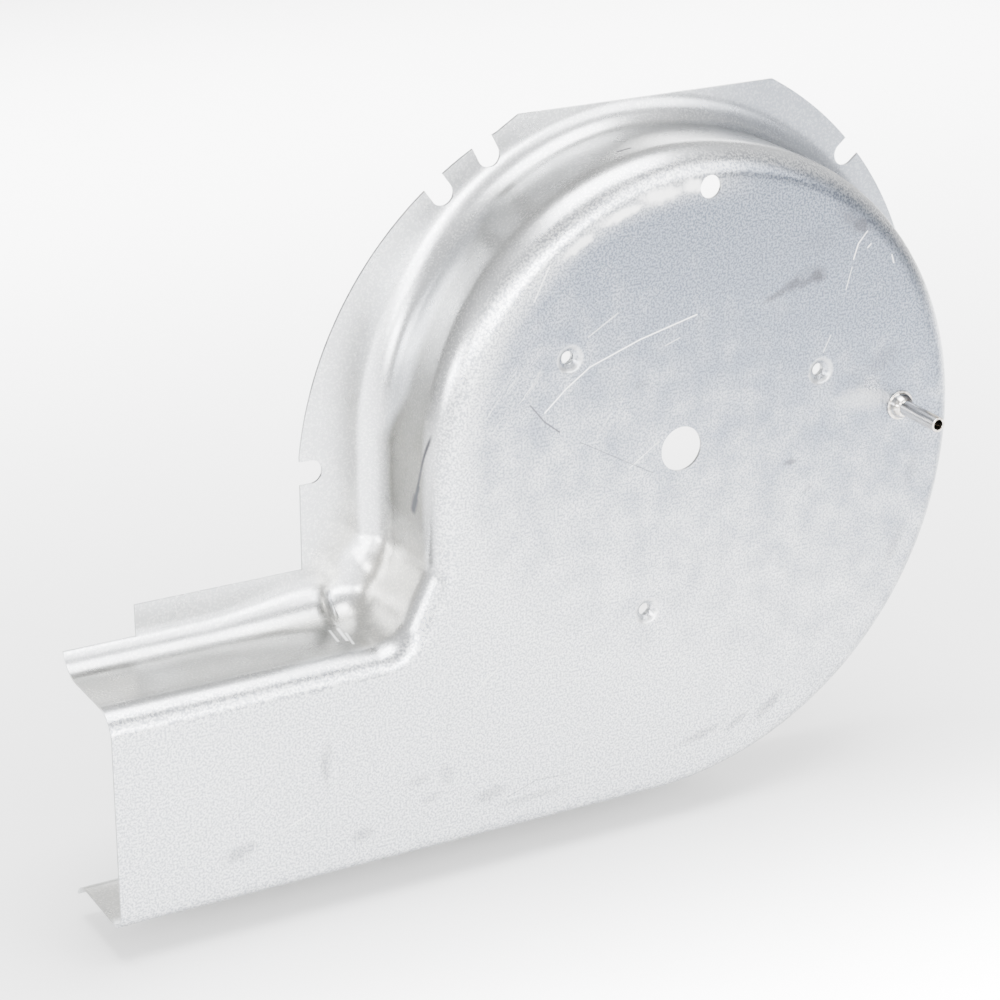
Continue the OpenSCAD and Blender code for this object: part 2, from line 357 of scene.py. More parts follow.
class Meshes:
    """Helpers that make and change meshes."""

    @staticmethod
    def link(name: str, mesh: bpy.types.Mesh) -> bpy.types.Object:
        """Adds an object for the mesh to the scene.

        Args:
            name: Name of the object.
            mesh: Its mesh, already in place.

        Returns:
            The new object, at the origin.
        """
        obj = bpy.data.objects.new(name, mesh)
        bpy.context.scene.collection.objects.link(obj)
        return obj

    @staticmethod
    def prism(name: str, outlines: list[list[Vector]], y0: float, y1: float) -> bpy.types.Object:
        """Closed prisms along Y, one for each outline.

        Args:
            name: Name of the object.
            outlines: Outlines in millimetres.
            y0: Nearer end in millimetres.
            y1: Farther end in millimetres.

        Returns:
            One object that holds them all.
        """
        bm = bmesh.new()
        for outline in outlines:
            near = [bm.verts.new(MM * Vector((p.x, y0, p.z))) for p in outline]
            far = [bm.verts.new(MM * Vector((p.x, y1, p.z))) for p in outline]
            bm.faces.new(near)
            bm.faces.new(list(reversed(far)))
            for i in range(len(outline)):
                j = (i + 1) % len(outline)
                bm.faces.new((near[j], near[i], far[i], far[j]))
        return Meshes.link(name, Meshes.finished(name, bm))

    @staticmethod
    def lathe(
        name: str, profile: list[Pair], segments: int, closed: bool
    ) -> bpy.types.Mesh:
        """A profile turned round an axis along Y.

        Args:
            name: Name of the mesh.
            profile: Pairs of radius and y, in millimetres.
            segments: Steps round the axis.
            closed: Whether the profile's last point joins its first.

        Returns:
            The new mesh, round the origin.
        """
        bm = bmesh.new()
        rings = []
        for k in range(segments):
            a = 2 * math.pi * k / segments
            ray = Vector((math.cos(a), 0, math.sin(a)))
            rings.append([bm.verts.new(MM * (r * ray + Vector((0, y, 0)))) for r, y in profile])
        last = len(profile) if closed else len(profile) - 1
        for k in range(segments):
            here, there = rings[k], rings[(k + 1) % segments]
            for i in range(last):
                j = (i + 1) % len(profile)
                bm.faces.new((here[i], here[j], there[j], there[i]))
        return Meshes.finished(name, bm)

    @staticmethod
    def finished(name: str, bm: bmesh.types.BMesh) -> bpy.types.Mesh:
        """A mesh of the faces made so far, all turned outwards.

        Args:
            name: Name of the mesh.
            bm: The faces, which are freed.

        Returns:
            The new mesh.
        """
        bmesh.ops.recalc_face_normals(bm, faces=bm.faces)
        mesh = bpy.data.meshes.new(name)
        bm.to_mesh(mesh)
        bm.free()
        return mesh

    @staticmethod
    def apply(obj: bpy.types.Object) -> None:
        """Replaces the object's mesh with the evaluated one and drops its modifiers.

        Args:
            obj: Object to change.
        """
        graph = bpy.context.evaluated_depsgraph_get()
        mesh = bpy.data.meshes.new_from_object(obj.evaluated_get(graph))
        mesh.name = obj.name
        obj.modifiers.clear()
        old, obj.data = obj.data, mesh
        bpy.data.meshes.remove(old)

    @staticmethod
    def grow(obj: bpy.types.Object, tree: NodeTree, values: dict) -> None:
        """Runs a geometry node tree on the object and keeps what it makes.

        Args:
            obj: Object to change.
            tree: The node tree.
            values: A value for each of the tree's named inputs.
        """
        mod = obj.modifiers.new("grow", "NODES")
        mod.node_group = tree
        for item in tree.interface.items_tree:
            if item.in_out == "INPUT" and item.name in values:
                mod[item.identifier] = values[item.name]
        Meshes.apply(obj)

    @staticmethod
    def cut(obj: bpy.types.Object, tool: bpy.types.Object, way: Cut) -> None:
        """Cuts the object with a closed tool, which is then removed.

        Args:
            obj: Closed object to cut.
            tool: Closed cutter.
            way: What is kept.
        """
        mod = obj.modifiers.new("cut", "BOOLEAN")
        mod.operation = way.value
        mod.solver = "MANIFOLD"
        mod.object = tool
        Meshes.apply(obj)
        bpy.data.objects.remove(tool)


@dataclass
class NodeBuilder:
    """Adds nodes and links to a node tree."""

    tree: NodeTree

    @classmethod
    def start(cls, kind: str, name: str, inputs: dict[str, str], outputs: dict[str, str]) -> tuple:
        """Starts a node group.

        Args:
            kind: The tree's type.
            name: Name of the group.
            inputs: Socket kind for each input's name.
            outputs: Socket kind for each output's name.

        Returns:
            A builder for its tree, its input sockets and its output node's sockets.
        """
        tree = bpy.data.node_groups.new(name, kind)
        for side, sockets in (("INPUT", inputs), ("OUTPUT", outputs)):
            for socket, what in sockets.items():
                tree.interface.new_socket(socket, in_out=side, socket_type="NodeSocket" + what)
        b = cls(tree)
        return b, b.add("NodeGroupInput").outputs, b.add("NodeGroupOutput").inputs

    def put(self, value: Value, socket: Socket) -> None:
        """Links an output socket to an input, or sets the input to a plain value.

        Args:
            value: The output socket or the value.
            socket: The input.
        """
        if isinstance(value, Socket):
            self.tree.links.new(value, socket)
        else:
            socket.default_value = value

    def add(self, kind: str, settings: dict | None = None, **inputs: Value) -> bpy.types.Node:
        """Adds a node.

        Args:
            kind: The node's type.
            settings: Properties of the node.
            **inputs: Socket name, with underscores for spaces, or in0, in1 ... for a place:
                a value, or an output socket to link.

        Returns:
            The new node.
        """
        node = self.tree.nodes.new(kind)
        for name, value in (settings or {}).items():
            setattr(node, name, value)
        for name, value in inputs.items():
            by_place = name.startswith("in") and name[2:].isdigit()
            self.put(value, node.inputs[int(name[2:]) if by_place else name.replace("_", " ")])
        return node

    def group(self, tree: NodeTree, **inputs: Value) -> bpy.types.Node:
        """Adds a shader node group, with inputs given as for any node."""
        return self.add("ShaderNodeGroup", {"node_tree": tree}, **inputs)

    def math(
        self, operation: str, a: Value, b: Value = 0.0, c: Value = 0.0, clamp: bool = False
    ) -> Socket:
        """Result of a Math node.

        Args:
            operation: Name of the operation.
            a: First value or socket.
            b: Second value or socket.
            c: Third value or socket.
            clamp: Whether the result is kept from 0 to 1.

        Returns:
            The output socket.
        """
        settings = {"operation": operation, "use_clamp": clamp}
        return self.add("ShaderNodeMath", settings, in0=a, in1=b, in2=c).outputs[0]

    def dressed(self, node: bpy.types.Node, material: Socket) -> Socket:
        """Makes a node's geometry real and gives it a material.

        Args:
            node: Node whose first output is the geometry.
            material: Socket of the material.

        Returns:
            The output socket.
        """
        real = self.add("GeometryNodeRealizeInstances", Geometry=node.outputs[0])
        done = self.add("GeometryNodeSetMaterial", Geometry=real.outputs[0], Material=material)
        return done.outputs[0]

    def times(self, a: Value, b: Value) -> Socket:
        """The product of two values or sockets."""
        return self.math("MULTIPLY", a, b)

    def plus(self, a: Value, b: Value) -> Socket:
        """The sum of two values or sockets."""
        return self.math("ADD", a, b)

    def minus(self, a: Value, b: Value) -> Socket:
        """The first value or socket less the second."""
        return self.math("SUBTRACT", a, b)

    def most(self, a: Value, b: Value) -> Socket:
        """The larger of two values or sockets."""
        return self.math("MAXIMUM", a, b)

    def vector(
        self, operation: str, a: Value, b: Value = (0, 0, 0), scale: Value | None = None
    ) -> Socket:
        """Result of a Vector Math node.

        Args:
            operation: Name of the operation.
            a: First vector or socket.
            b: Second vector or socket.
            scale: Scale or socket, for SCALE.

        Returns:
            The output socket, a number for LENGTH, DISTANCE and DOT_PRODUCT.
        """
        node = self.add("ShaderNodeVectorMath", {"operation": operation}, in0=a, in1=b)
        if scale is not None:
            self.put(scale, node.inputs["Scale"])
        single = operation in ("LENGTH", "DISTANCE", "DOT_PRODUCT")
        return node.outputs["Value" if single else "Vector"]

    def ramp(self, value: Value, start: Value, end: Value, top: Value = 1.0) -> Socket:
        """A smooth step from 0 at the start to the top at the end.

        Args:
            value: Socket to read.
            start: Value or socket that gives 0.
            end: Value or socket that gives the top.
            top: Highest result, a value or socket.

        Returns:
            The output socket.
        """
        settings = {"interpolation_type": "SMOOTHSTEP"}
        node = self.add(
            "ShaderNodeMapRange", settings, in0=value, in1=start, in2=end, in3=0.0, in4=top
        )
        return node.outputs[0]

    def mix(self, share: Value, first: Value, second: Value, blend: str = "MIX") -> Socket:
        """Mix of two colours.

        Args:
            share: Share of the second colour, a number or socket.
            first: First colour or socket.
            second: Second colour or socket.
            blend: Way to mix.

        Returns:
            The output socket.
        """
        settings = {"data_type": "RGBA", "blend_type": blend}
        return self.add("ShaderNodeMix", settings, in0=share, in6=first, in7=second).outputs[2]


@dataclass
class SweptWall:
    """The wall with its two bends, swept along the scroll's path by Geometry Nodes."""

    pan: PanSizes
    bend_steps: int = 14
    wall_steps: int = 6
    wide_from: float = 60.0
    wide_span: float = 120.0
    upward: float = 0.99
    turn_tolerance: float = 0.01
    right_power: int = 4

    def path_object(self) -> bpy.types.Object:
        """The wall's path as a chain of edges.

        Returns:
            An object whose points hold the outward direction and both bend radii.
        """
        pan = self.pan
        path = pan.wall_path()
        mesh = bpy.data.meshes.new("wall_path")
        places = [MM * p for p, _ in path]
        mesh.from_pydata(places, [(i, i + 1) for i in range(len(path) - 1)], [])
        outward = mesh.attributes.new("outward", "FLOAT_VECTOR", "POINT")
        outward.data.foreach_set("vector", [n for _, ray in path for n in ray])
        for name, rule in (
            ("bend_radius", self.bend_radius),
            ("fillet_radius", self.fillet_radius),
        ):
            radii = mesh.attributes.new(name, "FLOAT", "POINT")
            radii.data.foreach_set("value", [MM * rule(place, ray) for place, ray in path])
        return Meshes.link("wall_path", mesh)

    def bend_radius(self, place: Vector, ray: Vector) -> float:
        """Radius of the bend between face and wall: tight along the bottom, wide at the upper left.

        Args:
            place: Place on the wall.
            ray: Direction to the outside.

        Returns:
            Radius in millimetres.
        """
        pan = self.pan
        low = max(0.0, -ray.z) if place.z < pan.end_centre[1] else 0.0
        wide = 0.0
        if place.z > pan.start_centre[1]:
            over = max(0.0, math.degrees(math.acos(ray.x)) - self.wide_from)
            wide = max(0.0, math.sin(math.pi * over / self.wide_span))
        radius = pan.face_bend + (pan.low_bend - pan.face_bend) * smooth(low)
        return radius + (pan.wide_bend - pan.face_bend) * wide

    def fillet_radius(self, place: Vector, ray: Vector) -> float:
        """Radius of the fillet between wall and flange, which stays inside the rim.

        Args:
            place: Place on the wall.
            ray: Direction to the outside.

        Returns:
            Radius in millimetres.
        """
        pan = self.pan
        if ray.z > self.upward and abs(place.x - pan.crease_x) < pan.tolerance:
            return pan.corner_fillet
        if ray.z > self.upward and place.x < pan.crease_x:
            share = max(0.0, (place.x - pan.wide_from_x) / (pan.crease_x - pan.wide_from_x))
            return pan.fillet + (pan.wide_fillet - pan.fillet) * smooth(share)
        low_x, low_z = pan.low_corner
        top_x, top_z = pan.top_corner
        if place.x < top_x + pan.tongue_r and low_z - pan.tongue_r < place.z < top_z:
            return self.tongue_fillet(place, ray)
        return pan.fillet + (pan.right_fillet - pan.fillet) * max(0.0, ray.x) ** self.right_power

    def tongue_fillet(self, place: Vector, ray: Vector) -> float:
        """Radius of the fillet along the tongue, widest halfway between its two corners.

        Args:
            place: Place on the tongue's wall.
            ray: Direction to the outside.

        Returns:
            Radius in millimetres.
        """
        pan = self.pan
        turn = math.degrees(math.atan2(ray.z, -ray.x))
        if turn < pan.tongue_turn - self.turn_tolerance:
            share = max(0.0, turn / pan.tongue_turn)
            return pan.fillet + (pan.corner_fillet - pan.fillet) * share
        if turn > pan.tongue_turn + self.turn_tolerance:
            return pan.corner_fillet
        slant = math.radians(pan.tongue_turn)
        drop = pan.top_corner[1] - pan.tongue_r * math.sin(slant) - place.z
        along = drop / (pan.tongue_run * math.cos(slant))
        bulge = math.sin(math.pi * min(1.0, max(0.0, along))) ** 2
        return pan.corner_fillet + (pan.tongue_fillet - pan.corner_fillet) * bulge

    def tree(self) -> NodeTree:
        """Builds the node tree that sweeps the section along the path.

        The section has rows of points: one for the face's flat, some round the bend, some down
        the wall, some round the fillet, and one for the flange's flat.

        Returns:
            The tree, with its sizes as named inputs.
        """
        sizes = {
            "Geometry": "Geometry", "Path": "Object", "Depth": "Float", "Flat Width": "Float",
            "Bend Steps": "Int", "Wall Steps": "Int", "Material": "Material",
        }
        b, given, out = NodeBuilder.start(
            "GeometryNodeTree", "swept_wall", sizes, {"Geometry": "Geometry"}
        )
        path = b.add("GeometryNodeObjectInfo", in0=given["Path"])
        rail = b.add("GeometryNodeMeshToCurve", in0=path.outputs["Geometry"])
        place = b.add("GeometryNodeCaptureAttribute", {"domain": "POINT"}, in0=rail.outputs[0])
        place.capture_items.new("VECTOR", "Place")
        place.capture_items.new("INT", "Station")
        b.put(b.add("GeometryNodeInputPosition").outputs[0], place.inputs["Place"])
        b.put(b.add("GeometryNodeInputIndex").outputs[0], place.inputs["Station"])

        bends = b.times(given["Bend Steps"], 2.0)
        rows = b.plus(b.plus(bends, given["Wall Steps"]), 2.0)
        line = b.add("GeometryNodeCurvePrimitiveLine")
        section = b.add(
            "GeometryNodeResampleCurve", {"mode": "COUNT"},
            Curve=line.outputs[0], Count=b.plus(rows, 1.0),
        )
        along = b.add("GeometryNodeCaptureAttribute", {"domain": "POINT"}, in0=section.outputs[0])
        along.capture_items.new("FLOAT", "Row")
        factor = b.add("GeometryNodeSplineParameter").outputs["Factor"]
        b.put(b.times(factor, rows), along.inputs["Row"])
        row = along.outputs["Row"]
        swept = b.add(
            "GeometryNodeCurveToMesh", Curve=place.outputs[0], Profile_Curve=along.outputs[0]
        )
        offset, deep = self.section(b, given, row)
        outward = self.named(b, "outward", "FLOAT_VECTOR")
        moved = b.vector("ADD", place.outputs["Place"], b.vector("SCALE", outward, scale=offset))
        back = b.add("ShaderNodeCombineXYZ", Y=deep).outputs[0]
        stored = b.add(
            "GeometryNodeSetPosition", Geometry=swept.outputs[0], Position=b.vector("ADD", moved, back)
        )
        for name, value in (("row", row), ("station", place.outputs["Station"])):
            settings = {"data_type": "INT", "domain": "POINT"}
            stored = b.add(
                "GeometryNodeStoreNamedAttribute", settings,
                Geometry=stored.outputs[0], Name=name, Value=b.math("ROUND", value),
            )
        b.put(b.dressed(stored, given["Material"]), out["Geometry"])
        return b.tree

    @staticmethod
    def named(b: NodeBuilder, name: str, kind: str) -> Socket:
        """A value stored on the path's points."""
        return b.add("GeometryNodeInputNamedAttribute", {"data_type": kind}, Name=name).outputs[0]

    def section(
        self, b: NodeBuilder, given: bpy.types.NodeOutputs, row: Socket
    ) -> tuple[Socket, Socket]:
        """Places a row of the section.

        Args:
            b: Builder of the tree.
            given: The tree's input sockets.
            row: Number of the row.

        Returns:
            Sockets for how far the row lies outside the wall and how deep it lies.
        """
        bend_steps, wall_steps, flat = (
            given[name] for name in ("Bend Steps", "Wall Steps", "Flat Width")
        )

        def part(first: Value, steps: Value) -> Socket:
            """Share of one part of the section that lies before this row, from 0 to 1."""
            return b.math("DIVIDE", b.minus(row, first), steps, clamp=True)

        quarter = math.pi / 2
        first_bend = 1.0
        wall_start = b.plus(first_bend, bend_steps)
        second_bend = b.plus(wall_start, wall_steps)
        flange_start = b.plus(second_bend, bend_steps)
        face_turn = b.times(part(first_bend, bend_steps), quarter)
        flange_turn = b.times(part(second_bend, bend_steps), quarter)
        bend_r = self.named(b, "bend_radius", "FLOAT")
        fillet_r = self.named(b, "fillet_radius", "FLOAT")
        wall_h = b.minus(b.minus(given["Depth"], bend_r), fillet_r)

        inner = b.times(flat, b.minus(part(0.0, 1.0), 1.0))
        round_in = b.times(bend_r, b.minus(b.math("SINE", face_turn), 1.0))
        round_out = b.times(fillet_r, b.minus(1.0, b.math("COSINE", flange_turn)))
        outer = b.times(flat, part(flange_start, 1.0))
        offset = b.plus(b.plus(inner, round_in), b.plus(round_out, outer))
        deep_in = b.times(bend_r, b.minus(1.0, b.math("COSINE", face_turn)))
        deep_wall = b.times(wall_h, part(wall_start, wall_steps))
        deep_out = b.times(fillet_r, b.math("SINE", flange_turn))
        return offset, b.plus(b.plus(deep_in, deep_wall), deep_out)

    def build(self, material: bpy.types.Material) -> bpy.types.Object:
        """Sweeps the wall's outer surface.

        Args:
            material: Finish of the sheet.

        Returns:
            An open surface with the attributes row and station.
        """
        pan = self.pan
        path = self.path_object()
        host = Meshes.link("housing_shell_look", bpy.data.meshes.new("host"))
        values = {
            "Path": path,
            "Depth": MM * pan.depth,
            "Flat Width": MM * pan.flat_width,
            "Bend Steps": self.bend_steps,
            "Wall Steps": self.wall_steps,
            "Material": material,
        }
        Meshes.grow(host, self.tree(), values)
        bpy.data.objects.remove(path)
        log.info("swept wall: %d vertices", len(host.data.vertices))
        return host


@dataclass(frozen=True)
class DimpleSizes:
    """Section of a countersunk dimple with its threaded collar, in millimetres.

    A Pair is a step in radius and a step in y.
    """

    cut_r: float = 7.0
    lip_r: float = 4.9
    hole_r: float = 2.4
    depth: float = 1.8
    collar_len: float = 1.6
    collar_t: float = 0.6
    thread_pitch: float = 0.7
    thread_depth: float = 0.14
    soft_r: float = 2.2
    back_soft_r: float = 1.3
    back_gap: float = 0.1
    lip_steps: int = 8
    land: float = 0.5
    mouth: float = 0.35
    mouth_step: Pair = (0.17, 0.06)
    mouth_drop: float = 0.05
    lead: float = 0.3
    run_out: float = 0.2
    end_chamfer: Pair = (0.1, 0.12)
    end_widening: float = 0.05
    root: Pair = (0.3, 0.5)

    def profile(self, sheet: float) -> list[Pair]:
        """The section from the front edge through the hole to the back edge.

        Args:
            sheet: Thickness of the sheet.

        Returns:
            Pairs of radius and y.
        """
        mouth_r = self.hole_r + self.mouth
        tilt = math.atan(self.depth / (self.lip_r - mouth_r))
        turns = [tilt * i / self.lip_steps for i in range(self.lip_steps + 1)]
        lip_r = self.lip_r + self.soft_r * math.tan(tilt / 2)
        out = [(self.cut_r, 0.0), (self.cut_r - self.land, 0.0)]
        out += [(lip_r - self.soft_r * math.sin(a), self.soft_r * (1 - math.cos(a))) for a in turns]
        step_r, step_y = self.mouth_step
        out.append((mouth_r, self.depth - self.mouth_drop))
        out.append((self.hole_r + step_r, self.depth + step_y))
        out.append((self.hole_r, self.depth + self.lead))

        half = self.thread_pitch / 2
        behind = self.depth + sheet
        end = behind + self.collar_len
        y = self.depth + self.lead + half
        while y + half < end - self.run_out:
            out.append((self.hole_r + self.thread_depth, y))
            out.append((self.hole_r, y + half))
            y += self.thread_pitch

        collar_r = self.hole_r + self.collar_t
        chamfer_r, chamfer_y = self.end_chamfer
        root_r, root_y = self.root
        out.append((self.hole_r + self.end_widening, end))
        out.append((collar_r - chamfer_r, end))
        out.append((collar_r, end - chamfer_y))
        out.append((collar_r, behind + root_y))
        out.append((collar_r + root_r, behind))
        for a in reversed(turns):
            r = lip_r + self.back_gap - self.back_soft_r * math.sin(a)
            out.append((r, sheet + self.back_soft_r * (1 - math.cos(a))))
        out.append((self.cut_r, sheet))
        return out


@dataclass
class MotorDimples:
    """The dimples round the motor's screw holes, repeated by Geometry Nodes."""

    sizes: DimpleSizes
    holes: FaceHoles
    pan: PanSizes

    def tree(self) -> NodeTree:
        """Builds the node tree that places copies of a shape round a circle.

        Returns:
            The tree, with its sizes as named inputs.
        """
        sizes = {
            "Geometry": "Geometry", "Count": "Int", "Circle Radius": "Float",
            "First Angle": "Float", "Material": "Material",
        }
        b, given, out = NodeBuilder.start(
            "GeometryNodeTree", "round_circle", sizes, {"Geometry": "Geometry"}
        )
        points = b.add("GeometryNodePoints", Count=given["Count"])
        index = b.add("GeometryNodeInputIndex").outputs[0]
        step = b.math("DIVIDE", 2 * math.pi, given["Count"])
        angle = b.plus(b.times(index, step), given["First Angle"])
        x = b.times(b.math("COSINE", angle), given["Circle Radius"])
        z = b.times(b.math("SINE", angle), given["Circle Radius"])
        place = b.add("ShaderNodeCombineXYZ", X=x, Z=z).outputs[0]
        spread = b.add("GeometryNodeSetPosition", Geometry=points.outputs[0], Position=place)
        copies = b.add(
            "GeometryNodeInstanceOnPoints", Points=spread.outputs[0], Instance=given["Geometry"]
        )
        b.put(b.dressed(copies, given["Material"]), out["Geometry"])
        return b.tree

    def build(self, material: bpy.types.Material) -> bpy.types.Object:
        """Makes all the dimples as one object.

        Args:
            material: Finish of the sheet.

        Returns:
            The object, still to be joined to the sheet.
        """
        profile = self.sizes.profile(self.pan.sheet)
        mesh = Meshes.lathe("motor_dimple", profile, self.holes.segments, closed=False)
        obj = Meshes.link("motor_dimples", mesh)
        values = {
            "Count": self.holes.screw_count,
            "Circle Radius": MM * self.holes.screw_circle_r,
            "First Angle": math.radians(self.holes.screw_angle),
            "Material": material,
        }
        Meshes.grow(obj, self.tree(), values)
        log.info("motor dimples: %d vertices", len(obj.data.vertices))
        return obj


@dataclass
class PressedShell:
    """The whole pressed sheet: wall, face, flange, cut edges, holes and dimples."""

    material: bpy.types.Material
    pan: PanSizes = field(default_factory=PanSizes)
    rim: RimSizes = field(default_factory=RimSizes)
    holes: FaceHoles = field(default_factory=FaceHoles)
    dimple: DimpleSizes = field(default_factory=DimpleSizes)
    sharp_angle: float = 40.0
    margin: float = 3.0
    facing: float = 0.99
    side_on: float = 0.5
    ring_tolerance: float = 0.01
    weld: float = 0.003

    def build(self) -> bpy.types.Object:
        """Makes the sheet as one closed mesh.

        Returns:
            The finished object.
        """
        shell = SweptWall(self.pan).build(self.material)
        self.fill_flats(shell)
        self.thicken(shell)
        self.punch(shell)
        self.join_dimples(shell)
        shell.data.shade_smooth()
        shell.data.set_sharp_from_angle(angle=math.radians(self.sharp_angle))
        log.info("pressed shell: %d faces", len(shell.data.polygons))
        return shell

    def fill_flats(self, shell: bpy.types.Object) -> None:
        """Adds the face and an oversize flange to the swept wall.

        Args:
            shell: The swept wall's surface.
        """
        pan, rim = self.pan, self.rim
        bm = bmesh.new()
        bm.from_mesh(shell.data)
        row = bm.verts.layers.int["row"]
        station = bm.verts.layers.int["station"]
        last = max(v[row] for v in bm.verts)
        inner, outer = (
            sorted((v for v in bm.verts if v[row] == end), key=lambda v: v[station])
            for end in (0, last)
        )
        bm.faces.new(inner)
        y = MM * pan.depth
        low = MM * (pan.wall_low - rim.low_margin - self.margin)
        right = MM * (rim.right_centre[0] + rim.right_r + self.margin)
        top = MM * (rim.top_z + self.margin)
        far = outer[0].co.x
        corners = [(far, low), (right, low), (right, top), (far, top)]
        bm.faces.new(outer + [bm.verts.new((x, y, z)) for x, z in corners])
        bmesh.ops.recalc_face_normals(bm, faces=bm.faces)
        flats = [f for f in bm.faces if abs(f.normal.y) > self.facing]
        if max(flats, key=lambda f: f.calc_area()).normal.y > 0:
            bmesh.ops.reverse_faces(bm, faces=bm.faces)
        bm.to_mesh(shell.data)
        bm.free()

    def thicken(self, shell: bpy.types.Object) -> None:
        """Gives the surface the sheet's thickness, inwards.

        Args:
            shell: Open surface whose normals point out.
        """
        mod = shell.modifiers.new("sheet", "SOLIDIFY")
        mod.thickness = MM * self.pan.sheet
        mod.offset = -1
        mod.use_even_offset = True
        Meshes.apply(shell)
        back = MM * (self.pan.depth + self.pan.sheet)
        for vertex in shell.data.vertices:
            vertex.co.y = min(vertex.co.y, back)

    def punch(self, shell: bpy.types.Object) -> None:
        """Cuts the rim, the notches, the duct's open end and the holes.

        Args:
            shell: Closed sheet.
        """
        pan, holes = self.pan, self.holes
        before, behind = -self.margin, pan.depth + pan.sheet + self.margin
        outline = Meshes.prism("rim_cutter", [self.rim.outline(pan)], before, behind)
        Meshes.cut(shell, outline, Cut.KEEP_INSIDE)
        rings = [self.ring(x, z, r) for x, z, r in holes.round_holes()]
        rings += [self.ring(x, z, self.dimple.cut_r) for x, z in holes.screw_places()]
        rings += self.rim.notches()
        Meshes.cut(shell, Meshes.prism("hole_cutter", rings, before, behind), Cut.TAKE_AWAY)

    def ring(self, x: float, z: float, r: float) -> list[Vector]:
        """A circle as an outline.

        Args:
            x: Centre's x in millimetres.
            z: Centre's z in millimetres.
            r: Radius in millimetres.

        Returns:
            Places in millimetres.
        """
        out = []
        for k in range(self.holes.segments):
            a = 2 * math.pi * k / self.holes.segments
            out.append(Vector((x + r * math.cos(a), 0, z + r * math.sin(a))))
        return out

    def join_dimples(self, shell: bpy.types.Object) -> None:
        """Joins the dimples into the holes that are cut for them.

        Args:
            shell: Punched sheet.
        """
        dimples = MotorDimples(self.dimple, self.holes, self.pan).build(self.material)
        bm = bmesh.new()
        bm.from_mesh(shell.data)
        sides = [f for f in bm.faces if abs(f.normal.y) < self.side_on and self.is_cut_side(f)]
        bmesh.ops.delete(bm, geom=sides, context="FACES")
        bm.from_mesh(dimples.data)
        bmesh.ops.remove_doubles(bm, verts=bm.verts, dist=MM * self.weld)
        bmesh.ops.recalc_face_normals(bm, faces=bm.faces)
        open_edges = sum(1 for e in bm.edges if not e.is_manifold)
        log.info("shell joined: %d side faces replaced, %d open edges", len(sides), open_edges)
        for f in bm.faces:
            f.material_index = 0
        bm.to_mesh(shell.data)
        bm.free()
        bpy.data.objects.remove(dimples)

    def is_cut_side(self, f: bmesh.types.BMFace) -> bool:
        """Whether all of a face's corners lie on the rim of one of the dimples' cuts.

        Args:
            f: Face to look at.

        Returns:
            True if they do.
        """
        for x, z in self.holes.screw_places():
            away = [math.hypot(v.co.x - MM * x, v.co.z - MM * z) for v in f.verts]
            if all(abs(r - MM * self.dimple.cut_r) < MM * self.ring_tolerance for r in away):
                return True
        return False


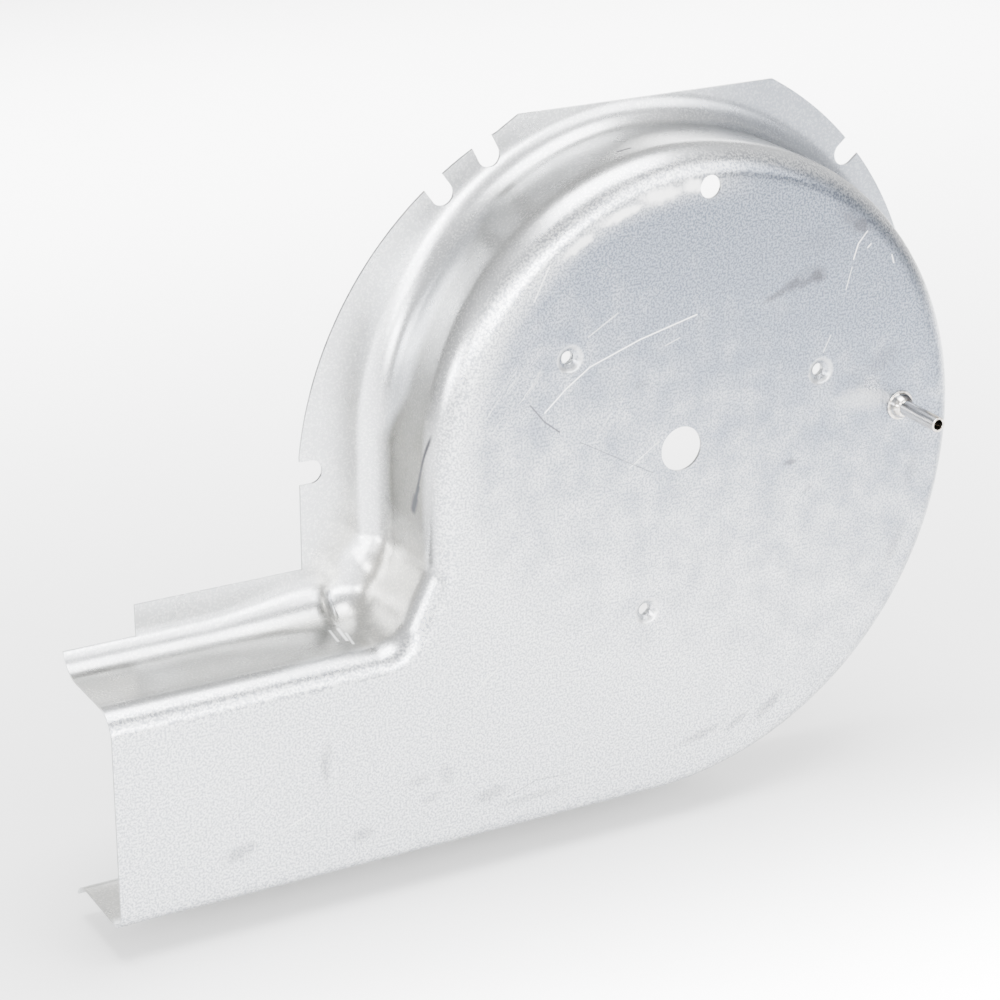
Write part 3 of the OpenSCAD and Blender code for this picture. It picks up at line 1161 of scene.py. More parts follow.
@dataclass(frozen=True)
class TapSizes:
    """Sizes of the pressure tap, in millimetres.

    A Pair is a step in radius and a step in y.
    """

    x: float = FaceHoles.tap_x
    tube_r: float = 2.9
    bore_r: float = 2.0
    length: float = 25.0
    mouth_in: float = 0.2
    mouth_out: Pair = (0.25, 0.28)
    mouth_turn: float = 0.08
    collar_r: float = 5.7
    collar_t: float = 0.9
    collar_top: Pair = (0.15, 0.18)
    collar_turn: Pair = (0.04, 0.05)
    collar_foot: Pair = (0.1, 0.12)
    dome_r: float = 4.8
    dome_steps: int = 12
    dome_first: float = 0.8
    dome_more: float = 0.5
    dome_root: float = 0.35
    dome_foot: float = 0.35
    dome_step: Pair = (0.15, 0.02)
    neck_end: float = 0.5
    neck_foot: float = 0.2
    neck_widening: float = 0.06
    stake_r: float = 4.3
    stake_t: float = 0.9
    stake_foot: Pair = (0.1, 0.15)
    stake_turn: Pair = (0.25, 0.7)
    stake_top: float = 0.1
    stake_bore: float = 0.15
    segments: int = 72

    def profile(self, sheet: float) -> list[Pair]:
        """The turned section, closed, from the mouth down the outside and back up the bore.

        Args:
            sheet: Thickness of the sheet.

        Returns:
            Pairs of radius and y.
        """
        t, tip = self.tube_r, -self.length
        out_r, out_y = self.mouth_out
        out = [
            (self.bore_r + self.mouth_in, tip),
            (t - out_r, tip),
            (t - self.mouth_turn, tip + self.mouth_turn),
            (t, tip + out_y),
        ]
        dome = self.dome()
        top = dome[0][1]
        out += [(t, top - self.neck_end), (t + self.neck_widening, top - self.neck_foot)]
        return out + dome + self.collar() + self.stake(sheet) + [(self.bore_r, tip + self.mouth_in)]

    def dome(self) -> list[Pair]:
        """The collar's domed front, from the tube outwards.

        Returns:
            Pairs of radius and y.
        """
        steps = self.dome_steps + self.dome_more
        out = []
        for i in range(self.dome_steps):
            r = self.dome_r * math.sin(math.pi / 2 * (i + self.dome_first) / steps)
            if r >= self.tube_r + self.dome_root:
                out.append((r, -self.collar_t - math.sqrt(max(0.0, self.dome_r**2 - r * r))))
        out.append((self.dome_r, -self.collar_t - self.dome_foot))
        return out

    def collar(self) -> list[Pair]:
        """The collar's rim, from the dome's foot to the sheet.

        Returns:
            Pairs of radius and y.
        """
        front = -self.collar_t
        return [
            (self.dome_r + self.dome_step[0], front - self.dome_step[1]),
            (self.collar_r - self.collar_top[0], front),
            (self.collar_r - self.collar_turn[0], front + self.collar_turn[1]),
            (self.collar_r, front + self.collar_top[1]),
            (self.collar_r, -self.collar_foot[1]),
            (self.collar_r - self.collar_foot[0], 0.0),
            (self.tube_r, 0.0),
        ]

    def stake(self, sheet: float) -> list[Pair]:
        """The rim staked over behind the sheet, and the bore's end.

        Args:
            sheet: Thickness of the sheet.

        Returns:
            Pairs of radius and y.
        """
        end = sheet + self.stake_t
        return [
            (self.tube_r, sheet),
            (self.stake_r - self.stake_foot[0], sheet),
            (self.stake_r, sheet + self.stake_foot[1]),
            (self.stake_r - self.stake_turn[0], sheet + self.stake_turn[1]),
            (self.tube_r - self.stake_top, end),
            (self.bore_r + self.stake_bore, end),
            (self.bore_r, end - self.stake_bore),
        ]


@dataclass
class PressureTap:
    """The staked tap that stands out of the face."""

    material: bpy.types.Material
    sizes: TapSizes = field(default_factory=TapSizes)
    sheet: float = PanSizes.sheet
    sharp_angle: float = 32.0

    def build(self) -> bpy.types.Object:
        """Makes the tap as one closed mesh.

        Returns:
            The finished object.
        """
        profile = self.sizes.profile(self.sheet)
        mesh = Meshes.lathe("pressure_tap_look", profile, self.sizes.segments, closed=True)
        mesh.transform(Matrix.Translation((MM * self.sizes.x, 0, 0)))
        mesh.materials.append(self.material)
        mesh.shade_smooth()
        mesh.set_sharp_from_angle(angle=math.radians(self.sharp_angle))
        obj = Meshes.link("pressure_tap_look", mesh)
        log.info("pressure tap: %d faces", len(mesh.polygons))
        return obj


@dataclass(frozen=True)
class MetalFinish:
    """Plain values of a finish."""

    name: str
    colour: Triple
    roughness: float
    metallic: float = 1.0


@dataclass(frozen=True)
class Smudge:
    """A soft patch on the face, darker or paler, in millimetres and degrees.

    Args:
        x: Centre's x.
        z: Centre's z.
        half_len: Half of its length.
        half_wid: Half of its width.
        angle: Turn of its length from +X towards +Z.
        depth: Strength, from 0 to 1.
    """

    x: float
    z: float
    half_len: float
    half_wid: float
    angle: float = 0.0
    depth: float = 0.5

    def axes(self) -> tuple[Vector, Vector]:
        """Directions along and across.

        Returns:
            The two directions, each as long as one over the half size in metres.
        """
        turn = math.radians(self.angle)
        along = Vector((math.cos(turn), 0, math.sin(turn))) / (MM * self.half_len)
        across = Vector((-math.sin(turn), 0, math.cos(turn))) / (MM * self.half_wid)
        return along, across


@dataclass(frozen=True)
class Scratch:
    """A thin line through two or more places, in millimetres.

    Args:
        places: Places (x, z) on the face, or (x, y, z) on the wall.
        width: Width of the line.
        depth: Strength, from 0 to 1.
    """

    places: tuple[tuple[float, ...], ...]
    width: float
    depth: float


@dataclass(frozen=True)
class SheetMarks:
    """The marks on the sheet that the photo shows.

    The tongue highlight is a painted cream highlight on the tongue's wall, and the rubbed patches show
    fine rub marks.
    """

    dark: tuple[Smudge, ...] = (
        Smudge(56.5, 57.4, 4.6, 3.4, 15, 1.0),
        Smudge(51.5, 55.2, 7, 1.8, 12, 0.8),
        Smudge(46.6, 55.6, 5.2, 2.8, 15, 0.9),
        Smudge(39.5, 52.8, 7.5, 1.5, 22, 0.8),
        Smudge(52, 57.5, 9, 4.5, 15, 0.32),
        Smudge(75.5, 73.6, 5.4, 3.2, -32, 0.95),
        Smudge(70.2, 77.6, 6, 2.2, -38, 0.6),
        Smudge(73, 75.5, 11, 4.6, -35, 0.35),
        Smudge(57.3, 70.9, 9, 6, 20, 0.16),
        Smudge(-18, 27.6, 3, 1.8, 0, 0.3),
        Smudge(48.1, -14.2, 4, 1.1, 5, 0.8),
        Smudge(56, -27, 3.5, 1.4, 30, 0.4),
        Smudge(-145.9, -94.5, 2.0, 8, 6, 0.5),
        Smudge(-144.5, -88.5, 1.8, 6, 4, 0.32),
        Smudge(-180, -119.7, 7, 3.4, 12, 0.5),
        Smudge(-132, -124.9, 4.5, 3, 15, 0.42),
        Smudge(-104, -117, 5, 2, 12, 0.3),
        Smudge(-108.6, -108.9, 5, 2.4, 12, 0.3),
        Smudge(-97.4, -108.6, 3.4, 5, 10, 0.32),
        Smudge(-79.4, -121.5, 8, 3, 8, 0.42),
        Smudge(-62, -127, 16, 1.6, 1, 0.3),
        Smudge(43, -113, 9, 2.6, 38, 0.5),
        Smudge(11.6, -119, 10, 2.2, 12, 0.42),
        Smudge(28, -117, 7, 1.6, 25, 0.4),
        Smudge(98, -58, 3, 9, -22, 0.35),
        Smudge(104, -28, 3, 7, -10, 0.3),
        Smudge(92.5, 64.1, 2.4, 1.2, -40, 1.0),
        Smudge(88, 20, 9, 5, 30, 0.3),
    )
    # Painted highlight along the upper left bend, partly polished zinc, and one faint pale patch on
    # the right.
    bright: tuple[Smudge, ...] = (
        Smudge(-27, 92.5, 11, 2.2, 15, 1.0),
        Smudge(-11, 97, 10, 3.2, 8, 1.0),
        Smudge(2, 99, 5, 3.0, 4, 1.0),
        Smudge(-44, 84, 9, 2.0, 30, 0.8),
        Smudge(79, 5.5, 15, 4.5, -8, 0.16),
    )
    pale: tuple[Scratch, ...] = (
        Scratch(((-57.4, 24.1), (-49, 31.5), (-39.2, 38.2), (-18.6, 45.1), (5.1, 50.7)), 0.42, 1.0),
        Scratch(((78.4, 71.2), (74.6, 67), (72.7, 61.2)), 0.42, 1.0),
        Scratch(((72.2, 58.2), (70, 50)), 0.35, 0.6),
        Scratch(((80.2, 66), (78.9, 64.8)), 0.5, 0.8),
        Scratch(((90, 60.4), (91, 57.2)), 0.5, 0.8),
        Scratch(((64, 33), (61, 27)), 0.45, 0.45),
        Scratch(((-40, 49.5), (-28, 56.5)), 0.4, 0.5),
        Scratch(((-62, 66), (-56, 78)), 0.5, 0.6),
        Scratch(((-22, -3.5), (-10, 4.5)), 0.35, 0.6),
        Scratch(((-87, -80), (-76, -71)), 0.4, 0.6),
        Scratch(((-160, -114), (-152, -111)), 0.45, 0.8),
        Scratch(((-8, 41), (-2, 43)), 0.4, 0.5),
    )
    thin_dark: tuple[Scratch, ...] = (
        Scratch(((-63.2, 27.8), (-57.6, 20.8), (-51.4, 15.8)), 0.55, 0.95),
        Scratch(((-42.9, 10.4), (-27.5, 1.6), (-12, -7.2)), 0.28, 0.75),
        Scratch(((-126.5, -100), (-131, -80), (-121, -69)), 0.35, 0.25),
        Scratch(((-97.6, -96), (-95.6, -79)), 0.4, 0.3),
        Scratch(((-183, -107), (-166, -94)), 0.35, 0.35),
        Scratch(((-72, -124.6), (-60, -120.5), (-45, -121.5)), 0.35, 0.5),
    )
    wall_dark: tuple[Scratch, ...] = (
        Scratch(((-100, 6, 21), (-101, 11.2, 6.8), (-101, 15.5, -5)), 1.3, 0.95),
        Scratch(((-101, 13.4, -0.5), (-101, 15.6, -5.6)), 2.0, 1.0),
        Scratch(((-101, 15.6, -5.6), (-101, 17.4, -10.2)), 3.2, 1.0),
        Scratch(((-18.5, 17.6, 109.8), (-14, 16.9, 110.6)), 1.0, 1.0),
    )
    wall_bright: tuple[Scratch, ...] = (
        Scratch(((-129.6, 28.5, -56), (-130.9, 19, -56)), 0.8, 0.8),
        Scratch(((-126.3, 28.5, -56), (-127.7, 18.2, -56)), 1.0, 0.9),
        Scratch(((-125.4, 23.8, -56), (-127.0, 14.5, -56)), 0.8, 0.8),
    )
    # Painted highlight in cream on the tongue's wall.
    tongue_highlight: Smudge = Smudge(-112, -38, 22, 15, 60, 0.9)
    rubbed: tuple[Smudge, ...] = (
        Smudge(-74, 28, 24, 13, 55, 0.5),
        Smudge(-68, -2, 18, 12, 0, 0.3),
        Smudge(-28, 22, 16, 10, 25, 0.25),
        Smudge(-150, -100, 70, 24, 0, 0.2),
    )


class ShaderGroups:
    """Shader node groups that the finishes share."""

    TREE = "ShaderNodeTree"
    GRAIN_DETAIL = {"Fine": 1.0, "Coarse": 2.0}
    PATCH_EDGE = (1.25, 0.35)
    HATCH_EDGE = (0.56, 0.72)

    def __init__(self) -> None:
        """Makes every group."""
        self.grain = self.make_grain()
        self.patch = self.make_patch()
        self.line = self.make_line()
        self.hatch = self.make_hatch()

    def make_grain(self) -> NodeTree:
        """Fine and coarse grain of a metal coating.

        Returns:
            The group, with outputs from 0 to 1.
        """
        b, given, out = NodeBuilder.start(
            self.TREE,
            "coating_grain",
            {"Position": "Vector", "Fine Size": "Float", "Coarse Size": "Float"},
            {"Fine": "Float", "Coarse": "Float"},
        )
        for name, detail in self.GRAIN_DETAIL.items():
            scale = b.math("DIVIDE", 1.0, given[name + " Size"])
            place = given["Position"]
            noise = b.add("ShaderNodeTexNoise", Vector=place, Scale=scale, Detail=detail)
            b.put(noise.outputs[0], out[name])
        return b.tree

    def make_patch(self) -> NodeTree:
        """A soft, ragged oval patch.

        Returns:
            The group, with a mask that is Depth in the patch. Along and Across point along the
            oval's axes, and each is as long as one over the half size on that axis.
        """
        b, given, out = NodeBuilder.start(
            self.TREE,
            "soft_patch",
            {"Position": "Vector", "Ragged": "Float", "Centre": "Vector", "Along": "Vector",
             "Across": "Vector", "Depth": "Float"},
            {"Mask": "Float"},
        )
        moved = b.vector("SUBTRACT", given["Position"], given["Centre"])
        along = b.vector("DOT_PRODUCT", moved, given["Along"])
        across = b.vector("DOT_PRODUCT", moved, given["Across"])
        away = b.vector("LENGTH", b.add("ShaderNodeCombineXYZ", X=along, Y=across).outputs[0])
        away = b.plus(away, given["Ragged"])
        b.put(b.ramp(away, *self.PATCH_EDGE, given["Depth"]), out["Mask"])
        return b.tree

    def make_line(self) -> NodeTree:
        """A thin straight line that fades at its sides.

        Returns:
            The group, with a mask that is Depth on the line. Run goes from start to end, and
            Share is the run divided by its length squared.
        """
        b, given, out = NodeBuilder.start(
            self.TREE,
            "thin_line",
            {"Position": "Vector", "Start": "Vector", "Run": "Vector", "Share": "Vector",
             "Outer": "Float", "Inner": "Float", "Depth": "Float"},
            {"Mask": "Float"},
        )
        there = b.vector("SUBTRACT", given["Position"], given["Start"])
        share = b.add("ShaderNodeClamp", in0=b.vector("DOT_PRODUCT", there, given["Share"]))
        nearest = b.vector("SCALE", given["Run"], scale=share.outputs[0])
        away = b.vector("LENGTH", b.vector("SUBTRACT", there, nearest))
        b.put(b.ramp(away, given["Outer"], given["Inner"], given["Depth"]), out["Mask"])
        return b.tree

    def make_hatch(self) -> NodeTree:
        """Fine parallel rub marks.

        Returns:
            The group, with a mask that is 1 on the marks.
        """
        b, given, out = NodeBuilder.start(
            self.TREE,
            "rub_marks",
            {"Position": "Vector", "Angle": "Float", "Spacing": "Float", "Length": "Float"},
            {"Mask": "Float"},
        )
        settings = {"rotation_type": "Y_AXIS"}
        turned = b.add(
            "ShaderNodeVectorRotate", settings, Vector=given["Position"], Angle=given["Angle"]
        )
        size = b.add("ShaderNodeCombineXYZ", X=given["Length"], Y=1.0, Z=given["Spacing"])
        scaled = b.vector("DIVIDE", turned.outputs[0], size.outputs[0])
        noise = b.add("ShaderNodeTexNoise", Vector=scaled, Scale=1.0, Detail=1.0)
        b.put(b.ramp(noise.outputs[0], *self.HATCH_EDGE), out["Mask"])
        return b.tree


@dataclass(frozen=True)
class SheetLook:
    """Values of the sheet's finish: sizes in metres, angles in degrees, shares from 0 to 1.

    A Step holds the values where a soft step starts and ends.
    """

    pale_zinc: Colour = (0.76, 0.772, 0.782, 1)
    # This colour is painted reflection: the face and flange are darkened towards it at the upper
    # right.
    dark_reflection_zinc: Colour = (0.24, 0.266, 0.312, 1)
    # Partly the walls' warm tint and partly painted shade: the walls are darkened towards this colour.
    warm_tint_and_shade: Colour = (0.22, 0.215, 0.19, 1)
    # Cream tint of the tongue's wall with a painted highlight.
    cream_tint_and_highlight: Colour = (0.86, 0.83, 0.75, 1)
    # Painted shade inside the duct, on its floor.
    duct_floor_shade: Colour = (0.33, 0.33, 0.32, 1)
    speck_dark: Colour = (0.44, 0.455, 0.49, 1)
    speck_light: Colour = (1.0, 1.0, 1.0, 1)
    # Pale colour of painted highlights and of real scratches, rub marks and polished spots.
    bright: Colour = (0.95, 0.95, 0.94, 1)
    dirt: Colour = (0.07, 0.07, 0.08, 1)
    cut_edge: Colour = (0.30, 0.305, 0.31, 1)

    fine_grain: float = 0.0008
    coarse_grain: float = 0.011
    grain_bump: float = 0.00004
    bump_strength: float = 0.55
    smoother: float = 0.06
    coarse_rough: float = 0.12
    marks_rough: float = 0.2

    on_face: Step = (0.0012, 0.0006)
    wobble_scale: float = 300.0
    wobble_shift: float = 0.0016
    ragged_edge: float = 1.1
    tongue_highlight_edge: float = 0.15

    # Painted reflection: these steps darken the zinc upwards and to the right.
    reflection_tone_step: Step = (-0.12, 0.07)
    reflection_tone_lean: float = 0.36
    tone_noise: float = 0.15
    near_face: Step = (0.0035, 0.0002)
    # Painted highlight: these steps keep the zinc pale near the upper left bend.
    bend_highlight_from_centre: Step = (0.082, 0.095)
    bend_highlight_from_right: Step = (0.035, -0.01)
    # Painted reflection on the flange, darker towards the right.
    flange_deep: Step = (0.036, 0.042)
    flange_right: Step = (0.0, 0.06)
    flange_dark_reflection: float = 0.75

    warm_scale: float = 34.0
    warm_noise: Step = (-0.7, 0.6)
    warm_front: Step = (0.005, 0.012)
    warm_back: Step = (0.042, 0.034)
    left_from_low: Step = (0.008, 0.035)
    left_from_right: Step = (-0.055, -0.08)
    left_back_shift: float = 0.012
    # Painted shade: how far the walls are darkened, set by height.
    wall_shade_share: float = 0.88
    wall_shade_up: Step = (-0.03, -0.005)
    wall_shade_up_more: float = 0.15
    wall_shade_top: Step = (0.01, 0.07)
    wall_shade_top_less: float = 0.48
    duct_floor: Step = (-0.131, -0.137)
    duct_floor_deep: Step = (0.005, 0.009)
    duct_floor_shade_share: float = 0.3

    speck_step: Step = (0.36, 0.64)
    speck_off_face: Step = (0.002, 0.006)
    speck_least: float = 0.6
    speck_in_dirt: float = 0.2
    # Painted highlight: a pale disc over each dimple's cone.
    cone_highlight_from_hole: Step = (0.0060, 0.0044)
    cone_highlight_share: float = 0.4
    hatch_angle: float = 52.0
    hatch_spacing: float = 0.00045
    hatch_length: float = 0.02
    side_on: Step = (0.3, 0.1)
    rim_deep: Step = (0.04345, 0.04355)
    hole_deep: Step = (0.00105, 0.00095)


def in_metres(place: tuple[float, ...]) -> Vector:
    """A place (x, z) or (x, y, z) in metres, with y at 0 where it isn't given."""
    y = place[1] if len(place) > 2 else 0.0
    return Vector((MM * place[0], MM * y, MM * place[-1]))


class SheetShader:
    """Builds the sheet's colour, roughness and grain from its look and its marks."""

    LINE_OUTER = 0.9
    LINE_INNER = 0.2

    def __init__(self, b: NodeBuilder, groups: ShaderGroups) -> None:
        """Makes the positions, noises and masks that the other methods share.

        Args:
            b: Builder of the material's tree.
            groups: The shared node groups.
        """
        self.b = b
        self.groups = groups
        self.look = SheetLook()
        self.marks = SheetMarks()
        look = self.look
        self.place = b.add("ShaderNodeTexCoord").outputs["Object"]
        self.x, self.y, self.z = b.add("ShaderNodeSeparateXYZ", in0=self.place).outputs
        sizes = {"Fine_Size": look.fine_grain, "Coarse_Size": look.coarse_grain}
        grain = b.group(groups.grain, Position=self.place, **sizes)
        self.fine, self.coarse = grain.outputs["Fine"], grain.outputs["Coarse"]
        wobble = b.add("ShaderNodeTexNoise", Vector=self.place, Scale=look.wobble_scale, Detail=1.0)
        centred = b.vector("SUBTRACT", wobble.outputs["Color"], 3 * (NOISE_MIDDLE,))
        shift = b.vector("SCALE", centred, scale=look.wobble_shift)
        self.loose = b.vector("ADD", self.place, shift)
        self.flat = b.vector("MULTIPLY", self.loose, (1, 0, 1))
        self.still = b.vector("MULTIPLY", self.place, (1, 0, 1))
        self.ragged = b.times(b.minus(wobble.outputs[0], NOISE_MIDDLE), look.ragged_edge)
        self.on_face = b.ramp(self.y, *look.on_face)
        self.speck = self.speckle()

    def build(self, shader: bpy.types.Node, roughness: float) -> None:
        """Links everything to the material's shader.

        Args:
            shader: The Principled node.
            roughness: Roughness of the plain sheet.
        """
        b, look = self.b, self.look
        colour = self.walls(self.reflection_tone())
        speckled = b.mix(self.speck, look.speck_dark, look.speck_light)
        colour = b.mix(1.0, colour, speckled, "MULTIPLY")
        # The pale marks mix painted highlights with real scratches, rub marks and polished spots.
        bright, dark = self.highlight_and_wear_marks(), self.dark_marks()
        colour = b.mix(bright, colour, look.bright)
        colour = b.mix(dark, colour, look.dirt)
        colour = b.mix(self.cut_edges(), colour, look.cut_edge)
        b.put(colour, shader.inputs["Base Color"])
        rough = b.plus(roughness - look.smoother, b.times(self.coarse, look.coarse_rough))
        rough = b.plus(rough, b.times(b.most(bright, dark), look.marks_rough))
        b.put(rough, shader.inputs["Roughness"])
        bump = b.add(
            "ShaderNodeBump",
            Strength=look.bump_strength, Distance=look.grain_bump, Height=self.fine,
        )
        b.put(bump.outputs[0], shader.inputs["Normal"])

    def reflection_tone(self) -> Socket:
        """Plain zinc with a painted reflection: darker and bluer at the upper right of the face and of
        the flange, and kept pale near the upper left bend as a painted highlight.

        Returns:
            The colour's socket.
        """
        b, look = self.b, self.look
        # Painted reflection: the zinc darkens upwards and to the right, with coarse mottle in it.
        reflection_tone = b.plus(self.z, b.times(self.x, look.reflection_tone_lean))
        reflection_tone = b.plus(reflection_tone, b.times(b.minus(self.coarse, NOISE_MIDDLE), look.tone_noise))
        away = b.vector("DISTANCE", self.flat, in_metres(PanSizes.start_centre))
        # Painted highlight: the mask worn keeps the zinc pale near the upper left bend.
        worn = b.times(b.ramp(away, *look.bend_highlight_from_centre), b.ramp(self.x, *look.bend_highlight_from_right))
        near_face = b.times(b.ramp(self.y, *look.near_face), b.minus(1.0, worn))
        flange = b.times(b.ramp(self.y, *look.flange_deep), b.ramp(self.x, *look.flange_right))
        dark_reflection_part = b.most(near_face, b.times(flange, look.flange_dark_reflection))
        reflection_tone = b.times(b.ramp(reflection_tone, *look.reflection_tone_step), dark_reflection_part)
        return b.mix(reflection_tone, look.pale_zinc, look.dark_reflection_zinc)

    def walls(self, colour: Socket) -> Socket:
        """Walls made darker and warmer, partly their warm tint and partly painted shade; a painted
        cream highlight on the tongue; painted shade on the duct's floor.

        Args:
            colour: Colour so far.

        Returns:
            The new colour.
        """
        b, look = self.b, self.look
        left = b.times(b.ramp(self.z, *look.left_from_low), b.ramp(self.x, *look.left_from_right))
        depth = b.plus(self.y, b.times(left, look.left_back_shift))
        off_face = b.times(b.ramp(self.y, *look.warm_front), b.ramp(depth, *look.warm_back))
        noise = b.add("ShaderNodeTexNoise", Vector=self.place, Scale=look.warm_scale, Detail=1.0)
        # Partly the walls' warm tint and partly painted shade, whose share changes with height.
        warm_tint_and_shade = b.times(b.ramp(noise.outputs[0], *look.warm_noise), off_face)
        more = b.times(b.ramp(self.z, *look.wall_shade_up), look.wall_shade_up_more)
        less = b.times(b.ramp(self.z, *look.wall_shade_top), look.wall_shade_top_less)
        share = b.minus(b.plus(more, look.wall_shade_share), less)
        colour = b.mix(b.times(warm_tint_and_shade, share), colour, look.warm_tint_and_shade)
        # Painted highlight: the tongue's wall is lightened to cream.
        tongue_highlight_edge = b.times(self.ragged, look.tongue_highlight_edge)
        tongue_lit = self.patches((self.marks.tongue_highlight,), tongue_highlight_edge)
        colour = b.mix(b.times(tongue_lit, off_face), colour, look.cream_tint_and_highlight)
        # Painted shade on the duct's floor, inside the outlet.
        floor = b.times(b.ramp(self.z, *look.duct_floor), b.ramp(self.y, *look.duct_floor_deep))
        return b.mix(b.times(floor, look.duct_floor_shade_share), colour, look.duct_floor_shade)

    def speckle(self) -> Socket:
        """Fine specks, strong on the face and weak off it.

        Returns:
            A mask that is 0 in the dark specks and 1 between them.
        """
        b, look = self.b, self.look
        off_face = b.times(b.ramp(self.y, *look.speck_off_face), look.speck_least)
        return b.most(b.ramp(self.fine, *look.speck_step), off_face)

    def dark_marks(self) -> Socket:
        """Smudges and dark lines on the face and the walls.

        Returns:
            The mask's socket.
        """
        b, marks = self.b, self.marks
        dark = self.patches(marks.dark, self.ragged)
        dark = b.times(dark, b.minus(1.0, b.times(self.speck, self.look.speck_in_dirt)))
        dark = self.lines(marks.thin_dark, self.still, dark)
        return self.lines(marks.wall_dark, self.place, b.times(dark, self.on_face))

    def highlight_and_wear_marks(self) -> Socket:
        """Pale patches, painted highlight and partly polished zinc along the upper left bend; painted
        highlights on the dimples' cones; pale scratches, rub marks and pale lines on the wall.

        Returns:
            The mask's socket.
        """
        b, look, marks = self.b, self.look, self.marks
        bright = self.patches(marks.bright, self.ragged)
        for screw in FaceHoles().screw_places():
            # Painted highlight on each dimple's cone.
            away = b.vector("DISTANCE", self.flat, in_metres(screw))
            cone_highlight = b.times(b.ramp(away, *look.cone_highlight_from_hole), look.cone_highlight_share)
            bright = b.most(bright, cone_highlight)
        bright = self.lines(marks.pale, self.still, bright)
        hatch = b.group(
            self.groups.hatch,
            Position=self.loose,
            Angle=math.radians(look.hatch_angle),
            Spacing=look.hatch_spacing,
            Length=look.hatch_length,
        )
        rubbed = b.times(self.patches(marks.rubbed, self.ragged), hatch.outputs[0])
        bright = b.most(bright, rubbed)
        return self.lines(marks.wall_bright, self.place, b.times(bright, self.on_face))

    def cut_edges(self) -> Socket:
        """The darker cut edges of the rim and of the holes in the face.

        Returns:
            The mask's socket.
        """
        b, look = self.b, self.look
        normal = b.add("ShaderNodeNewGeometry").outputs["True Normal"]
        normal_y = b.add("ShaderNodeSeparateXYZ", in0=normal).outputs[1]
        side_on = b.ramp(b.math("ABSOLUTE", normal_y), *look.side_on)
        rim = b.times(b.ramp(self.y, *look.rim_deep), side_on)
        hole = b.times(b.ramp(self.y, *look.hole_deep), side_on)
        return b.most(rim, hole)

    def patches(self, marks: tuple[Smudge, ...], ragged: Socket) -> Socket:
        """The strongest of several patches.

        Args:
            marks: The patches.
            ragged: Noise for their edges.

        Returns:
            The mask's socket.
        """
        total = None
        for mark in marks:
            along, across = mark.axes()
            node = self.b.group(
                self.groups.patch,
                Position=self.flat,
                Ragged=ragged,
                Centre=in_metres((mark.x, mark.z)),
                Along=along,
                Across=across,
                Depth=mark.depth,
            )
            total = node.outputs[0] if total is None else self.b.most(total, node.outputs[0])
        return total

    def lines(self, marks: tuple[Scratch, ...], place: Socket, total: Socket) -> Socket:
        """The strongest of several thin lines and of a mask.

        Args:
            marks: The scratches.
            place: Position to read.
            total: Mask to add them to.

        Returns:
            The mask's socket.
        """
        for mark in marks:
            for start, end in zip(mark.places, mark.places[1:]):
                first = in_metres(start)
                run = in_metres(end) - first
                node = self.b.group(
                    self.groups.line,
                    Position=place,
                    Start=first,
                    Run=run,
                    Share=run / run.length_squared,
                    Outer=self.LINE_OUTER * MM * mark.width,
                    Inner=self.LINE_INNER * MM * mark.width,
                    Depth=mark.depth,
                )
                total = self.b.most(total, node.outputs[0])
        return total


@dataclass(frozen=True)
class TapLook:
    """Values of the tap's plate: sizes in metres, shares from 0 to 1."""

    tarnish: Colour = (0.40, 0.36, 0.31, 1)
    dirt: Colour = SheetLook.dirt
    coarse_grain: float = 0.003
    draw_scale: float = 700.0
    draw_stretch: Triple = (1, 0.06, 1)
    stripe_step: Step = (0.42, 0.58)
    worn_step: Step = (0.3, 0.7)
    stripe_least: float = 0.55
    stripe_worn: float = 0.4
    stain_centre: Triple = (0.0997, -0.0042, 0.0028)
    stain_along: Triple = (330, 0, 330)
    stain_across: Triple = (0, 250, 0)
    stain_depth: float = 0.85


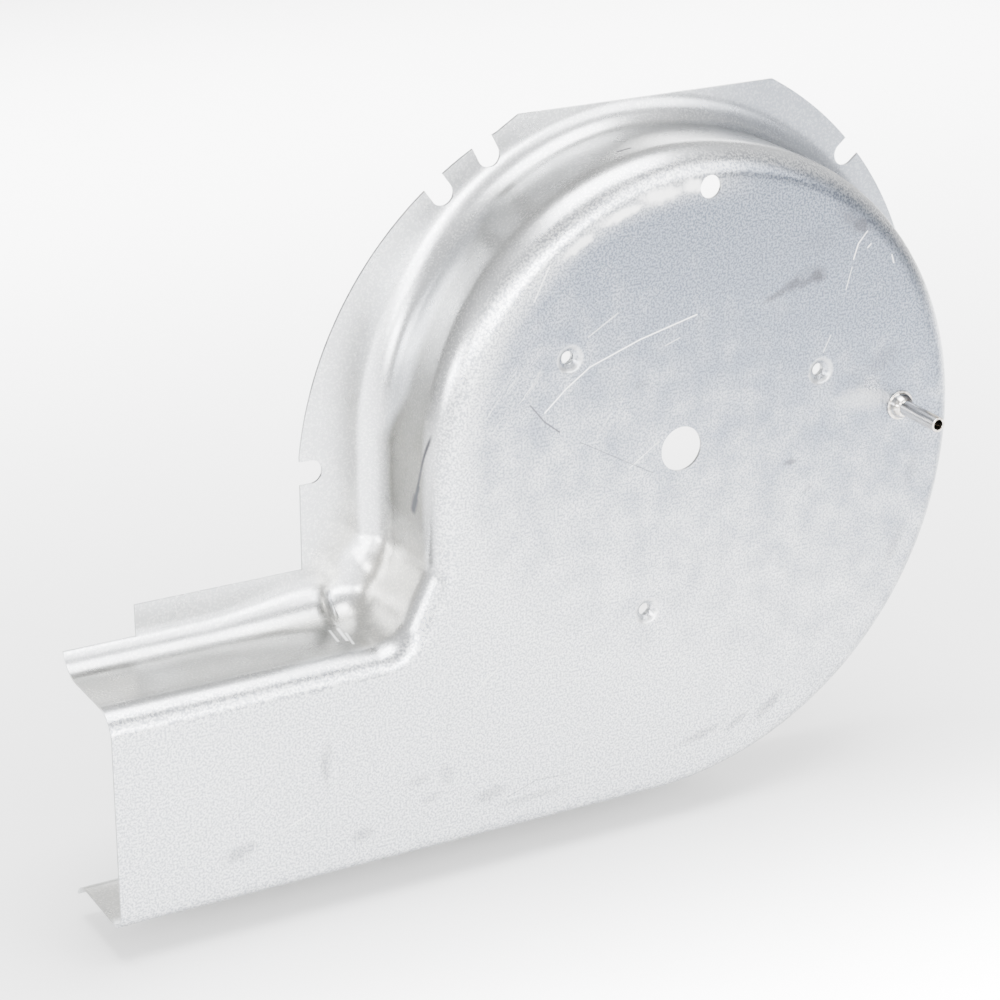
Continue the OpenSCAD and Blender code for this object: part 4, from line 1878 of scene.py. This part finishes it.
class Finishes:
    """Makes the materials."""

    SHEET = MetalFinish("galvanised_sheet", (0.70, 0.72, 0.74), 0.28)
    TAP = MetalFinish("nickel_plate", (0.86, 0.83, 0.79), 0.14)
    FLOOR = MetalFinish("pale_floor", (0.96, 0.96, 0.96), 0.6, metallic=0.0)

    def __init__(self) -> None:
        """Makes the shared node groups."""
        self.groups = ShaderGroups()

    def sheet(self) -> bpy.types.Material:
        """Zinc-coated sheet with its grain, smudges, scratches and cut edges, and painted reflection,
        highlight and shade in its colour.

        Returns:
            The material.
        """
        material, shader, b = self.start(self.SHEET)
        SheetShader(b, self.groups).build(shader, self.SHEET.roughness)
        return material

    def tap(self) -> bpy.types.Material:
        """Bright nickel plate with drawn stripes and a stain at the collar.

        Returns:
            The material.
        """
        material, shader, b = self.start(self.TAP)
        look = TapLook()
        place = b.add("ShaderNodeTexCoord").outputs["Object"]
        grain = b.group(self.groups.grain, Position=place, Coarse_Size=look.coarse_grain)
        stretched = b.vector("MULTIPLY", place, look.draw_stretch)
        drawn = b.add("ShaderNodeTexNoise", Vector=stretched, Scale=look.draw_scale)
        worn = b.times(b.ramp(grain.outputs["Coarse"], *look.worn_step), look.stripe_worn)
        stripes = b.ramp(drawn.outputs[0], *look.stripe_step)
        stripes = b.times(stripes, b.plus(look.stripe_least, worn))
        colour = b.mix(stripes, (*self.TAP.colour, 1), look.tarnish)
        stain = b.group(
            self.groups.patch,
            Position=place,
            Centre=look.stain_centre,
            Along=look.stain_along,
            Across=look.stain_across,
            Depth=look.stain_depth,
        )
        colour = b.mix(stain.outputs[0], colour, look.dirt)
        b.put(colour, shader.inputs["Base Color"])
        return material

    def floor(self) -> bpy.types.Material:
        """Plain pale floor.

        Returns:
            The material.
        """
        return self.start(self.FLOOR)[0]

    @staticmethod
    def start(
        finish: MetalFinish,
    ) -> tuple[bpy.types.Material, bpy.types.Node, NodeBuilder]:
        """Starts a material with plain values.

        Args:
            finish: The plain values.

        Returns:
            The material, its Principled node and a builder for its tree.
        """
        material = bpy.data.materials.new(finish.name)
        material.use_nodes = True
        shader = material.node_tree.nodes["Principled BSDF"]
        shader.inputs["Base Color"].default_value = (*finish.colour, 1)
        shader.inputs["Roughness"].default_value = finish.roughness
        shader.inputs["Metallic"].default_value = finish.metallic
        return material, shader, NodeBuilder(material.node_tree)


@dataclass(frozen=True)
class SoftLight:
    """One soft rectangular light."""

    name: str
    place: Triple
    target: Triple
    size: Pair
    watts: float
    spread: float = 180.0


@dataclass
class Studio:
    """Floor, lights, world and camera, in metres, apart from the floor's gap in millimetres."""

    floor_material: bpy.types.Material
    floor_gap: float = 0.1
    floor_size: float = 14.0
    world_level: float = 1.3
    camera_place: Triple = (-0.549529, -0.863183, 0.395081)
    camera_right: Triple = (0.87675797, -0.48092994, 0.00136477)
    camera_up: Triple = (0.18010603, 0.3309704, 0.92629391)
    lens: float = 108.13
    clip_start: float = 0.05
    lights: tuple[SoftLight, ...] = (
        SoftLight("key", (-0.85, -1.6, 0.5), (0, 0, 0), (0.9, 0.6), 26),
        SoftLight("axis", (0.0, -1.7, 0.35), (0, 0, 0), (0.8, 0.5), 30),
        SoftLight("left", (-1.4, -1.2, 0.5), (0, 0, 0), (0.8, 0.6), 7),
        SoftLight("side", (-1.4, -0.58, 0.33), (-0.1, 0, 0), (0.55, 0.3), 12),
        SoftLight("right", (0.95, 0.1, 1.2), (0.95, 0.1, -0.15), (0.6, 0.6), 10, 50),
        SoftLight("front", (0.8, -1.35, 0.75), (0, 0, 0), (1.0, 0.9), 25),
        SoftLight("low", (0.0, -0.28, 0.9), (0.0, -0.28, -0.15), (0.7, 0.1), 14, 28),
        SoftLight("top", (0.0, -0.2, 1.7), (0, 0, 0), (1.2, 1.2), 70),
        SoftLight("back", (0.4, 1.05, 1.5), (0.4, 1.05, -0.15), (2.2, 0.8), 52, 50),
        SoftLight("behind", (0.9, 1.7, 0.65), (-0.1, 0, -0.05), (1.2, 0.6), 2.5, 60),
    )

    def build(self) -> None:
        """Adds everything round the object to the scene."""
        self.add_floor()
        for light in self.lights:
            self.add_light(light)
        self.set_world()
        self.add_camera()

    def add_floor(self) -> None:
        """Adds the plain floor, just under the low flange."""
        s = self.floor_size / 2
        z = MM * (PanSizes.wall_low - RimSizes.low_margin - self.floor_gap)
        mesh = bpy.data.meshes.new("floor")
        corners = [(-s, -s), (s, -s), (s, s), (-s, s)]
        mesh.from_pydata([(x, y, z) for x, y in corners], [], [(0, 1, 2, 3)])
        mesh.materials.append(self.floor_material)
        Meshes.link("floor", mesh)

    def add_light(self, light: SoftLight) -> None:
        """Adds one light.

        Args:
            light: Its values.
        """
        data = bpy.data.lights.new(light.name, "AREA")
        data.shape = "RECTANGLE"
        data.size, data.size_y = light.size
        data.energy = light.watts
        data.spread = math.radians(light.spread)
        obj = bpy.data.objects.new(light.name, data)
        obj.location = light.place
        aim = Vector(light.target) - Vector(light.place)
        obj.rotation_euler = aim.to_track_quat("-Z", "Y").to_euler()
        bpy.context.scene.collection.objects.link(obj)
        log.info("light %s: %g W", light.name, light.watts)

    def set_world(self) -> None:
        """Sets an even world light."""
        world = bpy.data.worlds.new("studio")
        world.use_nodes = True
        level = self.world_level
        world.node_tree.nodes["Background"].inputs[0].default_value = (level, level, level, 1)
        bpy.context.scene.world = world

    def add_camera(self) -> None:
        """Adds the camera where the photo was taken from."""
        data = bpy.data.cameras.new("camera")
        data.lens = self.lens
        data.clip_start = self.clip_start
        obj = bpy.data.objects.new("camera", data)
        right, up = Vector(self.camera_right), Vector(self.camera_up)
        turn = Matrix((right, up, right.cross(up))).transposed()
        obj.matrix_world = Matrix.Translation(self.camera_place) @ turn.to_4x4()
        bpy.context.scene.collection.objects.link(obj)
        bpy.context.scene.camera = obj


def main() -> None:
    logging.basicConfig(level=logging.INFO, format="%(name)s: %(message)s")
    finishes = Finishes()
    shell = PressedShell(finishes.sheet()).build()
    tap = PressureTap(finishes.tap()).build()
    for piece, node, slot in (
        (shell, "housing_shell", Slot.SHEET),
        (tap, "pressure_tap", Slot.TAP),
    ):
        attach(piece, "root")
        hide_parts(node)
    Studio(finishes.floor()).build()


if __name__ == "__main__":
    main()
